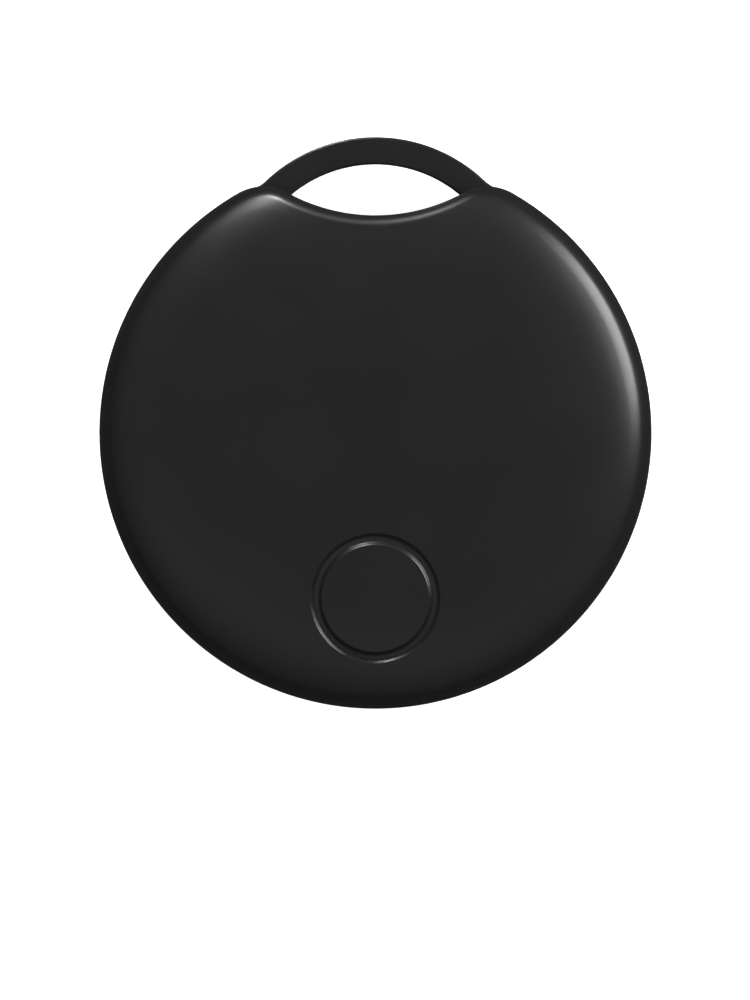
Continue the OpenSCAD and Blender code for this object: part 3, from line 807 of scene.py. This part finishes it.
# Fired ceramic: off-white, chalky smooth
ceramic_white = moulded("white_ceramic", "#b9b8b0", "#c6c5be", 0.06 * mm, 0.5, 0.006 * mm, ior=1.7)
fit(aerial_body, "rear_half", "antenna_ceramic", ceramic_white, "chip_antenna")
zigzag = [(x, y) for i, x in enumerate(np.linspace(-1.7, 1.7, 10) * mm)
          for y in ((-0.5 * mm, 0.5 * mm) if i % 2 else (0.5 * mm, -0.5 * mm))]
c = math.cos(math.radians(aerial_turn))
s = math.sin(math.radians(aerial_turn))
zigzag = np.array(zigzag) @ np.array([[c, s], [-s, c]]) + aerial
line = ribbon(zigzag, 0.14 * mm, aerial_high.z - 2 * track_h, aerial_high.z)
line.name = "chip_antenna_line"
fit(line, "rear_half", "screw_steel", nickel)
for sign in (-1, 1):
    solder.append(brick((0.5 * mm, 1.64 * mm, aerial_size[2] + track_h), aerial, aerial_low.z - track_lap,
                        aerial_turn, shift=(sign * 2.26 * mm, 0)))

# ---- Capacitors and resistors ----
# Ceramic capacitors and thick-film resistors, each a small fired block with a tinned cap on both ends,
# soldered in place by reflow.
cap_size = (1 * mm, 0.5 * mm, 0.5 * mm)
resistor_size = (1 * mm, 0.5 * mm, 0.35 * mm)
end_w = 0.26 * mm
proud = 0.02 * mm
row_r = 15.4 * mm


def on_arc(angle):
    """A place in the row along the board's rim, with the angle in degrees clockwise from +Y."""
    return (row_r * math.sin(math.radians(angle)), row_r * math.cos(math.radians(angle)))


def passive(size, place, turn):
    """The body of a small part with two ends; its tinned ends join the solder."""
    for sign in (-1, 1):
        solder.append(brick((end_w, size[1] + proud, size[2] + proud / 2), place, board_top - track_lap, turn,
                            shift=(sign * (size[0] - end_w + proud) / 2, 0)))
    return brick((size[0] - end_w, size[1], size[2]), place, board_top, turn, cut=0.03 * mm)


cap_places = [((-8.9 * mm, y * mm), 0) for y in (-5.6, -4.5, -3.4, -2.3, -1.2)]
cap_places += [(on_arc(a), -a) for a in range(204, 229, 6)]
cap_places += [((10.6 * mm, y * mm), 0) for y in (7.4, 8.6, 9.8)]
capacitors = join("capacitor_bodies", [passive(cap_size, place, turn) for place, turn in cap_places])
# Barium titanate, fired: warm tan-brown with a fine grain
titanate = moulded("tan_titanate", "#80613f", "#927150", 0.05 * mm, 0.42, 0.006 * mm, ior=1.9)
fit(capacitors, "rear_half", "capacitor_tan", titanate, "smd_capacitors")
resistor_places = [(on_arc(a), -a) for a in range(150, 169, 6)]
resistor_places += [((x * mm, -8.4 * mm), 90) for x in (-5.6, -4.4, -3.2)]
resistor_places += [((15.4 * mm, y * mm), 0) for y in (-1.2, -0.4)]
resistors = join("resistor_bodies", [passive(resistor_size, place, turn) for place, turn in resistor_places])
# Glass overcoat on a thick-film resistor: black and glossy
overcoat = moulded("black_glass_overcoat", "#161617", "#202022", 0.07 * mm, 0.33, 0.006 * mm)
fit(resistors, "rear_half", "chip_black", overcoat, "smd_resistors")

# ---- Inductor ----
# The power converter's shielded inductor: a wound drum core pressed into a square shell of sintered ferrite,
# with a wide terminal at each end.
coil_low, coil_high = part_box("power_inductor")
coil = np.array([(coil_low.x + coil_high.x) / 2, (coil_low.y + coil_high.y) / 2])
coil_w = coil_high.x - coil_low.x
shell = brick((coil_w, coil_w, coil_high.z - coil_low.z), coil, coil_low.z, cut=0.3 * mm)
core_r = 1 * mm
core_gap = 0.12 * mm
gap_low = coil_high.z - core_gap
gap_high = coil_high.z + 1 * mm
ring_cut = lathe("ring_cut", [(core_r, gap_low), (core_r + core_gap, gap_low), (core_r + core_gap, gap_high),
                              (core_r, gap_high)], coil[0], coil[1], 64, closed=True)
combine(shell, [ring_cut], "DIFFERENCE")
shell.name = "power_inductor_shell"
# Sintered ferrite: dark grey, dry and slightly pitted
ferrite = moulded("sintered_ferrite", "#3b3a39", "#474645", 0.08 * mm, 0.62, 0.02 * mm, ior=2.3)
fit(shell, "rear_half", "ferrite", ferrite, "power_inductor")
for sign in (-1, 1):
    solder.append(brick((0.6 * mm, 2.2 * mm, 0.3 * mm), coil, coil_low.z - track_lap, cut=0.03 * mm,
                        shift=(sign * (coil_w / 2 - 0.26 * mm), 0)))

# ---- Transistor ----
# The sounder's driver: a small epoxy body with three formed leads, two on one side and one on the other.
transistor = np.array([8.4 * mm, -7.6 * mm])
transistor_turn = 30
lead_w = 0.4 * mm
lead_t = 0.12 * mm
lead_z = 0.55 * mm
driver_size = (2.9 * mm, 1.3 * mm, 0.95 * mm)
driver_lift = 0.1 * mm
driver = brick(driver_size, transistor, board_top + driver_lift, transistor_turn, cut=0.08 * mm)
driver.name = "driver_transistor_body"
fit(driver, "rear_half", "chip_black", moulding, "driver_transistor")
# Each lead is a foot, a riser and a shoulder: its length, height, rise above the board and place outwards
lead_steps = [(0.5 * mm, lead_t, 0, 0.95 * mm), (lead_t, lead_z, 0, 0.76 * mm),
              (0.24 * mm, lead_t, lead_z - lead_t, 0.7 * mm)]
for x, sign in ((-0.95 * mm, -1), (0.95 * mm, -1), (0, 1)):
    for length, height, rise, out in lead_steps:
        solder.append(brick((lead_w, length, height), transistor, board_top + rise, transistor_turn,
                            cut=0.03 * mm, shift=(x, sign * out)))

# ---- Solder and tinned ends ----
# All the tinned terminals, with the small fillets that reflow leaves between them and the board's pads.
terminals = join("solder_terminals", solder)
# Matt tin over solder: light grey metal with a soft, slightly frosted shine
tin = rolled("matt_tin", "#a9a9a6", "#bdbdb9", 0.06 * mm, 0.36, 0.006 * mm)
fit(terminals, "rear_half", "screw_steel", tin)

# ---- Switch ----
# The tact switch under the button: a black nylon base with a steel snap dome in it, a pale plunger, and a
# stamped steel frame on top that is folded over the base's corners.
frame_low, frame_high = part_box("switch_frame")
switch_y = (frame_low.y + frame_high.y) / 2
switch_w = frame_high.x - frame_low.x
frame_hole = 0.9 * mm
stake_r = 0.22 * mm
stake_at = 1.5 * mm
stake_top = frame_high.z + 0.05 * mm
frame_plate = brick((switch_w, switch_w, frame_high.z - frame_low.z), (0, switch_y), frame_low.z,
                    cut=0.06 * mm)
combine(frame_plate, [drum(frame_hole, 2 * mm, 6 * mm, 0, switch_y, 64)], "DIFFERENCE")
frame_plate.name = "switch_frame_plate"
stake_profile = eased([(0, frame_low.z, 0), (stake_r, frame_low.z, 0), (stake_r, stake_top, 0.05 * mm),
                       (0, stake_top, 0)])
stakes = [lathe("stake", stake_profile, sx * stake_at, switch_y + sy * stake_at, 24)
          for sx in (-1, 1) for sy in (-1, 1)]
# Stamped stainless steel: fine straight rolling lines
stainless = rolled("stamped_stainless", "#a8a8a8", "#bcbcbc", 0.04 * mm, 0.33, 0.003 * mm, along=(0.06, 1, 1))
fit(frame_plate, "rear_half", "spring_steel", stainless, "switch_frame")
# Nylon, glass filled: dull black with a fine grain
nylon = moulded("black_nylon", "#1d1d1e", "#272728", 0.1 * mm, 0.55, 0.012 * mm, ior=1.53)
stake_set = join("switch_stakes", stakes)
fit(stake_set, "rear_half", "switch_plastic", nylon)
refinish(nylon, "switch_base")
refinish(stainless, "positive_contacts")
dome_low, dome_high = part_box("switch_dome")
snap_r = dome_high.x
snap_t = 0.07 * mm
snap_h = dome_high.z - dome_low.z - snap_t
curve = [(t * snap_r, dome_low.z + snap_h * (1 - t ** 2)) for t in np.linspace(0, 1, 12)]
snap = lathe("switch_snap_dome", curve + [(radius, z + snap_t) for radius, z in curve[::-1]], 0, switch_y, 64)
fit(snap, "rear_half", "spring_steel", stainless, "switch_dome")
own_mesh(snap)
plunger_low, plunger_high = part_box("switch_plunger")
plunger_r = 0.85 * mm
plunger_z = plunger_low.z + 0.08 * mm
collar_r = plunger_high.x
collar_top = plunger_low.z + 0.25 * mm
plunger = lathe("switch_plunger_moulding", eased([
    (0, plunger_z, 0), (collar_r, plunger_z, 0.03 * mm), (collar_r, collar_top, 0.03 * mm),
    (plunger_r, collar_top, 0), (plunger_r, plunger_high.z, 0.12 * mm), (0, plunger_high.z, 0)]),
    0, switch_y, 64)
# Acetal: a pale, waxy white
acetal = moulded("ivory_acetal", "#b5b4ac", "#c0bfb8", 0.1 * mm, 0.4, 0.008 * mm, ior=1.48)
fit(plunger, "switch_plunger", "plunger_plastic", acetal, "switch_plunger")

# ---- Cell holder ----
# A ring moulded in glass-filled polyester round the cell's place, with a ledge under the cell, gaps for the
# side contacts, and one for a fingertip.
holder_low, holder_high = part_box("battery_cradle")
holder_r = holder_high.x
holder_y = (holder_low.y + holder_high.y) / 2
holder_in = 8.15 * mm
holder_ledge = 6.2 * mm
ledge_top = board_top + 0.3 * mm
holder = lathe("battery_cradle_ring", eased([
    (holder_ledge, board_top, 0), (holder_r, board_top, 0), (holder_r, holder_high.z, 0.2 * mm),
    (holder_in, holder_high.z, 0.15 * mm), (holder_in, ledge_top, 0.05 * mm),
    (holder_ledge, ledge_top, 0.08 * mm)]), 0, holder_y, 192, closed=True)
gap_at = 9 * mm
gaps = [brick((4 * mm, 3.2 * mm, 6 * mm), (sign * gap_at, holder_y), 1 * mm, cut=0.2 * mm)
        for sign in (-1, 1)]
gaps.append(brick((4 * mm, 3 * mm, 4 * mm), (0, holder_y - gap_at), ledge_top, cut=0.2 * mm))
combine(holder, gaps, "DIFFERENCE")
# Glass-filled polyester: black, with the faint flow marks and speckle of its fibres
polyester_black = moulded("glass_filled_polyester", "#252527", "#303032", 0.12 * mm, 0.48, 0.015 * mm,
                          ior=1.57)
fit(holder, "rear_half", "cradle_plastic", polyester_black, "battery_cradle")

# ---- Coin cell ----
# A lithium cell: a drawn steel can, which is the plus side and faces the front, crimped over a plastic
# gasket onto the smaller steel cap below. A plus sign is pressed into the can's face.
can_low, can_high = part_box("battery_can")
cap_low, cap_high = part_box("battery_cap")
cell_r = can_high.x
cell_y = (can_low.y + can_high.y) / 2
can_t = 0.25 * mm
corner_r = 0.5 * mm
fold = 0.9 * mm
crimp = can_low.z
face_z = can_high.z
# A shallow coined ring inside the can's corner: insets of its lips and floor, and its depth
coined = (1.1 * mm, 1.16 * mm, 1.3 * mm, 1.36 * mm)
coined_z = face_z - 0.03 * mm
can = lathe("battery_can_shell", eased([
    (0, face_z - can_t, 0), (cell_r - can_t, face_z - can_t, 0.3 * mm),
    (cell_r - can_t, crimp + can_t, 0.1 * mm), (cell_r - fold, crimp + can_t, 0.06 * mm),
    (cell_r - fold, crimp, 0.06 * mm), (cell_r, crimp, 0.35 * mm),
    (cell_r, face_z, corner_r), (cell_r - coined[0], face_z, 0), (cell_r - coined[1], coined_z, 0),
    (cell_r - coined[2], coined_z, 0), (cell_r - coined[3], face_z, 0), (0, face_z, 0)]), 0, cell_y, 256)
plus_size = (2.2 * mm, 0.45 * mm, 1 * mm)
plus_place = (0, cell_y + 3.9 * mm)
plus = [brick(plus_size, plus_place, face_z - 0.05 * mm, turn, cut=0.05 * mm) for turn in (0, 90)]
combine(can, plus, "DIFFERENCE")
# Drawn stainless steel: bright, with fine rings left by the polishing of the turned face
cell_steel, tree = material("drawn_cell_steel")
place = add(tree, "TexCoord").outputs["Object"]
centred = add(tree, "Mapping", {"Location": (0, -cell_y, 0), "Scale": (1, 1, 0)}, {"Vector": place})
reach_out = add(tree, "VectorMath", {"operation": "LENGTH"}, {0: centred.outputs["Vector"]})
rings_noise = add(tree, "TexNoise", {"noise_dimensions": "1D", "Scale": 1 / (0.07 * mm), "Detail": 2.0},
                  {"W": reach_out.outputs["Value"]})
smear = add(tree, "TexNoise", {"Scale": 1 / (2.5 * mm), "Detail": 4.0}, {"Vector": place})
tone = tones(tree, smear.outputs["Fac"], (0.35, 0.65), ("#b1b1b2", "#c2c2c3"))
rough = add(tree, "MapRange", {"From Min": 0.3, "From Max": 0.7, "To Min": 0.285, "To Max": 0.35},
            {"Value": rings_noise.outputs["Fac"]})
bump = add(tree, "Bump", {"Strength": 0.3, "Distance": 0.004 * mm}, {"Height": rings_noise.outputs["Fac"]})
shade = add(tree, "BsdfPrincipled", {"Metallic": 1.0},
            {"Base Color": tone, "Roughness": rough.outputs["Result"],
             "Normal": bump.outputs["Normal"]})
close(tree, shade)
fit(can, "battery", "cell_steel", cell_steel, "battery_can")
cap_r = cap_high.x
cap = lathe("battery_cap_shell", eased([
    (0, cap_low.z, 0), (cap_r, cap_low.z, 0.4 * mm), (cap_r, cap_high.z, 0.03 * mm),
    (cap_r - can_t, cap_high.z, 0.03 * mm), (cap_r - can_t, cap_low.z + can_t, 0.2 * mm),
    (0, cap_low.z + can_t, 0)]), 0, cell_y, 192)
fit(cap, "battery", "cell_steel", cell_steel, "battery_cap")
# Polypropylene: a blue-grey ring, waxy, that shows as a thin line between can and cap
polypropylene = moulded("blue_polypropylene", "#33475e", "#3d5470", 0.1 * mm, 0.45, 0.008 * mm, ior=1.49)
refinish(polypropylene, "battery_gasket")
# Pressed manganese dioxide: sooty black, dry
powder = moulded("pressed_powder", "#2a2a2c", "#39393b", 0.1 * mm, 0.85, 0.03 * mm)
refinish(powder, "battery_stack")

# ---- Foam pad ----
# A disc punched from fine open-cell polyurethane foam and stuck inside the front cover, where it presses on
# the cell and stops it rattling.
foam_low, foam_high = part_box("foam_pad")
foam_r = foam_high.x
foam_y = (foam_low.y + foam_high.y) / 2
foam_cut = 0.08 * mm
pore = 0.03 * mm
profile = [(0.02 * mm + t * (foam_r - foam_cut), foam_low.z) for t in np.linspace(0, 1, 30)]
profile += eased([(0, foam_low.z, 0), (foam_r, foam_low.z, foam_cut), (foam_r, foam_high.z, foam_cut),
                  (0, foam_high.z, 0)])[1:-1]
profile += [(0.02 * mm + t * (foam_r - foam_cut), foam_high.z) for t in np.linspace(1, 0, 12)]
foam = lathe("foam_pad_disc", profile, 0, foam_y, 120)
chance = np.random.default_rng(5)
middle = (foam_low.z + foam_high.z) / 2
for vertex in foam.data.vertices:
    vertex.co.z += pore * float(chance.random()) * (1 if vertex.co.z < middle else -1)
# Open-cell foam: charcoal, with painted shade darkening the pits between its cells
charcoal_foam, tree = material("charcoal_foam")
place = add(tree, "TexCoord").outputs["Object"]
cells_with_painted_pit_shade = add(tree, "TexVoronoi", {"Scale": 1 / (0.22 * mm)}, {"Vector": place})
# The colour runs dark in the cells' pits and lighter on the ridges: painted shade over the foam's charcoal
tone = tones(tree, cells_with_painted_pit_shade.outputs["Distance"], (0.1, 0.6), ("#161617", "#3a3a3c"))
bump = add(tree, "Bump", {"Strength": 0.8, "Distance": 0.08 * mm}, {"Height": cells_with_painted_pit_shade.outputs["Distance"]})
shade = add(tree, "BsdfPrincipled", {"IOR": 1.45, "Roughness": 0.95},
            {"Base Color": tone, "Normal": bump.outputs["Normal"]})
close(tree, shade)
fit(foam, "front_half", "foam", charcoal_foam, "foam_pad")

# ---- Front cover ----
# The domed face, moulded in the same black ABS: its outline is cut back in a scallop between two lobes to
# bare the loop, and a round hole low down takes the button. A tongue under its rim drops into the tray.
front_low, front_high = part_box("front_cover")
front_h = front_high.z - parting
front_band = 0.2 * mm
dome_power = 2.8
button_low, button_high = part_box("button_cap")
button_y = (button_low.y + button_high.y) / 2
hole_r = 4.21 * mm
lip = 0.3 * mm
groove = 0.2 * mm
tongue_in = 1.05 * mm
tongue_out = 1.7 * mm
shelf_z = 5.6 * mm


def dome(points, distance=1.0):
    return parting + skin(points, front_h, front_band, 0, dome_power, distance)


def lip_drop(share):
    """How far the slope beside the groove has fallen, from 0 at share 1 to the groove's depth at share 0."""
    return groove * (1 + np.cos(math.pi * share)) / 2


def round_button(points, radius):
    """Points at that radius about the button's axis, in the directions of the given points."""
    away = points - [0, button_y]
    return [0, button_y] + radius * away / np.hypot(*away.T)[:, None]


insets = 1.6 * mm * np.linspace(0, 1, 34) ** 1.6
base = outline(insets[-1])
lip_line = round_button(base, hole_r + lip)
rings = [at(outline(d), dome(outline(d), d)) for d in insets]
for t in np.linspace(0, 1, 34)[1:-1]:
    points = base * (1 - t) + lip_line * t
    rings.append(at(points, dome(points)))
for share in np.linspace(1, 0, 17):
    points = round_button(base, hole_r + share * lip)
    rings.append(at(points, dome(points) - lip_drop(share)))
hole_line = round_button(base, hole_r)
tongue_low = front_low.z
rings += [at(hole_line, z) for z in (6.2 * mm, shelf_z - 0.5 * mm, tongue_low)]
rings += [at(outline(tongue_in + 0.1 * mm), tongue_low), at(outline(tongue_in), tongue_low + 0.1 * mm),
          at(outline(tongue_in), parting), at(outline(0.03 * mm), parting)]
face = loft("front_cover_moulding", rings)

wall = 1.25 * mm
column_r = 6.9 * mm
pocket_r = 8.4 * mm
below = 3 * mm
hollow_insets = np.linspace(tongue_out, tongue_out + 2 * mm, 12)
core = outline(hollow_insets[-1])
hollow = loft("hollow",
              [at(outline(tongue_out), tongue_low - 1 * mm)]
              + [at(outline(d), dome(outline(d), d) - wall) for d in hollow_insets]
              + [at(core * (1 - t), dome(core * (1 - t)) - wall) for t in np.linspace(0, 1, 14)[1:-1]],
              (0, 0, tongue_low - 1 * mm), (0, 0, dome(np.zeros((1, 2)))[0] - wall))
# The button's column is left solid, then bored out under the shelf
column = drum(column_r, shelf_z, 9 * mm, 0, button_y)
combine(hollow, [column], "DIFFERENCE")
pocket = drum(pocket_r, below, foam_high.z, 0, cell_y)
button_pocket = drum(6 * mm, below, shelf_z, 0, button_y)
combine(face, [hollow, pocket, button_pocket], "DIFFERENCE")
fit(face, "front_half", "case_black", abs_black, "front_cover")

# ---- Button cap ----
# A round cap of the same ABS whose face carries on the dome's curve, with a soft lip round its edge. Its
# brim holds it under the cover, and the stem below meets the switch.
crown_r = 3.93 * mm
brim_r = button_high.x
brim_top = 5.3 * mm
brim_low = brim_top - 0.5 * mm
stem_r = 1 * mm


def button_ring(radius):
    return circle(radius, 0, button_y, 192)


rings = [at(button_ring(stem_r), button_low.z), at(button_ring(stem_r), brim_low)]
rings += [at(button_ring(brim_r), brim_low), at(button_ring(brim_r), brim_top)]
rings += [at(button_ring(crown_r), z) for z in (brim_top, 6.0 * mm)]
for share in np.linspace(0, 1, 17):
    points = button_ring(crown_r - share * lip)
    rings.append(at(points, dome(points) - lip_drop(share)))
for radius in np.linspace(crown_r - lip, 0.1 * mm, 26)[1:]:
    points = button_ring(radius)
    rings.append(at(points, dome(points)))
crown = loft("button_cap_moulding", rings, (0, button_y, button_low.z),
             (0, button_y, dome(np.array([[0, button_y]]))[0]))
fit(crown, "button", "button_black", abs_black, "button_cap")

# ---- Button seal ----
# A silicone web bonded under the cover round the hole, with a thin upstand that fills the groove round the
# crown, so that no water gets in.
seal_gap = 0.02 * mm
seal_in = crown_r + seal_gap
seal_out = hole_r - seal_gap
seal_low = groove + 0.03 * mm
web_out = 5.9 * mm
rings = [at(button_ring(seal_in), brim_top)]
for radius in (seal_in, seal_out):
    points = button_ring(radius)
    rings.append(at(points, dome(points) - seal_low))
rings += [at(button_ring(radius), z)
          for radius, z in ((seal_out, shelf_z), (web_out, shelf_z), (web_out, brim_top))]
seal = loft("button_seal_moulding", rings)
# Silicone rubber, filled black: matt, a little lighter than the case
silicone, tree = material("black_silicone")
place = add(tree, "TexCoord").outputs["Object"]
grain = add(tree, "TexNoise", {"Scale": 1 / (0.08 * mm), "Detail": 2.0}, {"Vector": place})
bump = add(tree, "Bump", {"Strength": 0.1, "Distance": 0.02 * mm}, {"Height": grain.outputs["Fac"]})
shade = add(tree, "BsdfPrincipled", {"Base Color": srgb("#1c1c1d"), "IOR": 1.41, "Roughness": 0.6},
            {"Normal": bump.outputs["Normal"]})
close(tree, shade)
fit(seal, "front_half", "silicone_black", silicone, "button_seal")

# ---- Studio ----
# A pale floor that the tag lies on, a wide soft light from above, a large softbox low on the right, a
# narrow one behind the loop and a faint one in front. The camera looks straight down on the face.
scene = bpy.context.scene
scene.view_settings.view_transform = "Standard"
floor_mesh = bpy.data.meshes.new("floor")
half = 3.0
corners = [(-half, -half, 0), (half, -half, 0), (half, half, 0), (-half, half, 0)]
floor_mesh.from_pydata(corners, [], [(0, 1, 2, 3)])
floor = bpy.data.objects.new("floor", floor_mesh)
scene.collection.objects.link(floor)
floor.visible_glossy = False
paper, tree = material("pale_paper")
place = add(tree, "TexCoord").outputs["Object"]
fibre = add(tree, "TexNoise", {"Scale": 1 / (2 * mm), "Detail": 4.0}, {"Vector": place})
tone = add(tree, "MapRange", {"To Min": 0.88, "To Max": 0.9}, {"Value": fibre.outputs["Fac"]})
shade = add(tree, "BsdfPrincipled", {"IOR": 1.4, "Roughness": 0.9, "Emission Color": srgb("#ffffff"),
                                     "Emission Strength": 0.75}, {"Base Color": tone.outputs["Result"]})
close(tree, shade)
floor_mesh.materials.append(paper)

world = bpy.data.worlds.new("room")
scene.world = world
world.use_nodes = True
tree = world.node_tree
tree.nodes.clear()
look = add(tree, "TexCoord").outputs["Generated"]
height = add(tree, "SeparateXYZ", links={"Vector": look}).outputs["Z"]
ramp = add(tree, "ValToRGB", links={"Fac": height})
stops = [(0.0, 0.03), (0.25, 0.08), (0.70, 0.25), (0.95, 0.12), (1.0, 0.12)]
for place, value in stops[1:-1]:
    ramp.color_ramp.elements.new(place)
for stop, (place, value) in zip(ramp.color_ramp.elements, stops):
    stop.position = place
    stop.color = (value, value, value, 1)
glow = add(tree, "Background", {"Strength": 1.0}, {"Color": ramp.outputs["Color"]})
backdrop = add(tree, "Background", {"Color": srgb("#ffffff")})
seen = add(tree, "LightPath").outputs["Is Camera Ray"]
room = add(tree, "MixShader",
           links={0: seen, 1: glow.outputs["Background"], 2: backdrop.outputs["Background"]})
add(tree, "OutputWorld", links={"Surface": room.outputs["Shader"]})


def softbox(name, azimuth, elevation, distance, width, height, power, glossy=True):
    """An area light aimed at the tag. Azimuth is clockwise from +Y seen from above."""
    lamp = bpy.data.lights.new(name, "AREA")
    lamp.shape = "RECTANGLE"
    lamp.size = width
    lamp.size_y = height
    lamp.energy = power
    holder = bpy.data.objects.new(name, lamp)
    scene.collection.objects.link(holder)
    a, e = math.radians(azimuth), math.radians(elevation)
    away = np.array([math.sin(a) * math.cos(e), math.cos(a) * math.cos(e), math.sin(e)])
    holder.location = away * distance
    holder.rotation_mode = "QUATERNION"
    holder.rotation_quaternion = Vector(-away).to_track_quat("-Z", "Y")
    holder.visible_glossy = glossy
    return holder


softbox("overhead", 0, 89, 1.0, 1.2, 1.2, 8, glossy=False)
softbox("right_box", 65, 18.5, 0.45, 0.27, 0.23, 2.35)
softbox("loop_box", -16, 24, 0.45, 0.05, 0.14, 1.6)
softbox("near_box", 200, 62, 0.6, 0.7, 0.2, 0.09)

# A second wide light reaches only what is inside the case, whose metal would mirror the dark room if opened
inner_light = softbox("inner_light", -35, 62, 0.5, 0.5, 0.4, 3)
inside = bpy.data.collections.new("inside_the_case")
for piece in bpy.data.objects:
    if piece.type == "MESH" and piece not in (tray, face, crown, seal, floor):
        inside.objects.link(piece)
inner_light.light_linking.receiver_collection = inside

eye = bpy.data.cameras.new("camera")
camera = bpy.data.objects.new("camera", eye)
scene.collection.objects.link(camera)
scene.camera = camera
frame_h = 68.82 * mm
distance = 0.8
eye.sensor_width = 36
eye.lens = 36 * distance / frame_h
eye.clip_start = 0.01
eye.clip_end = 10
camera.location = (-0.03 * mm, -4.635 * mm, parting + distance)
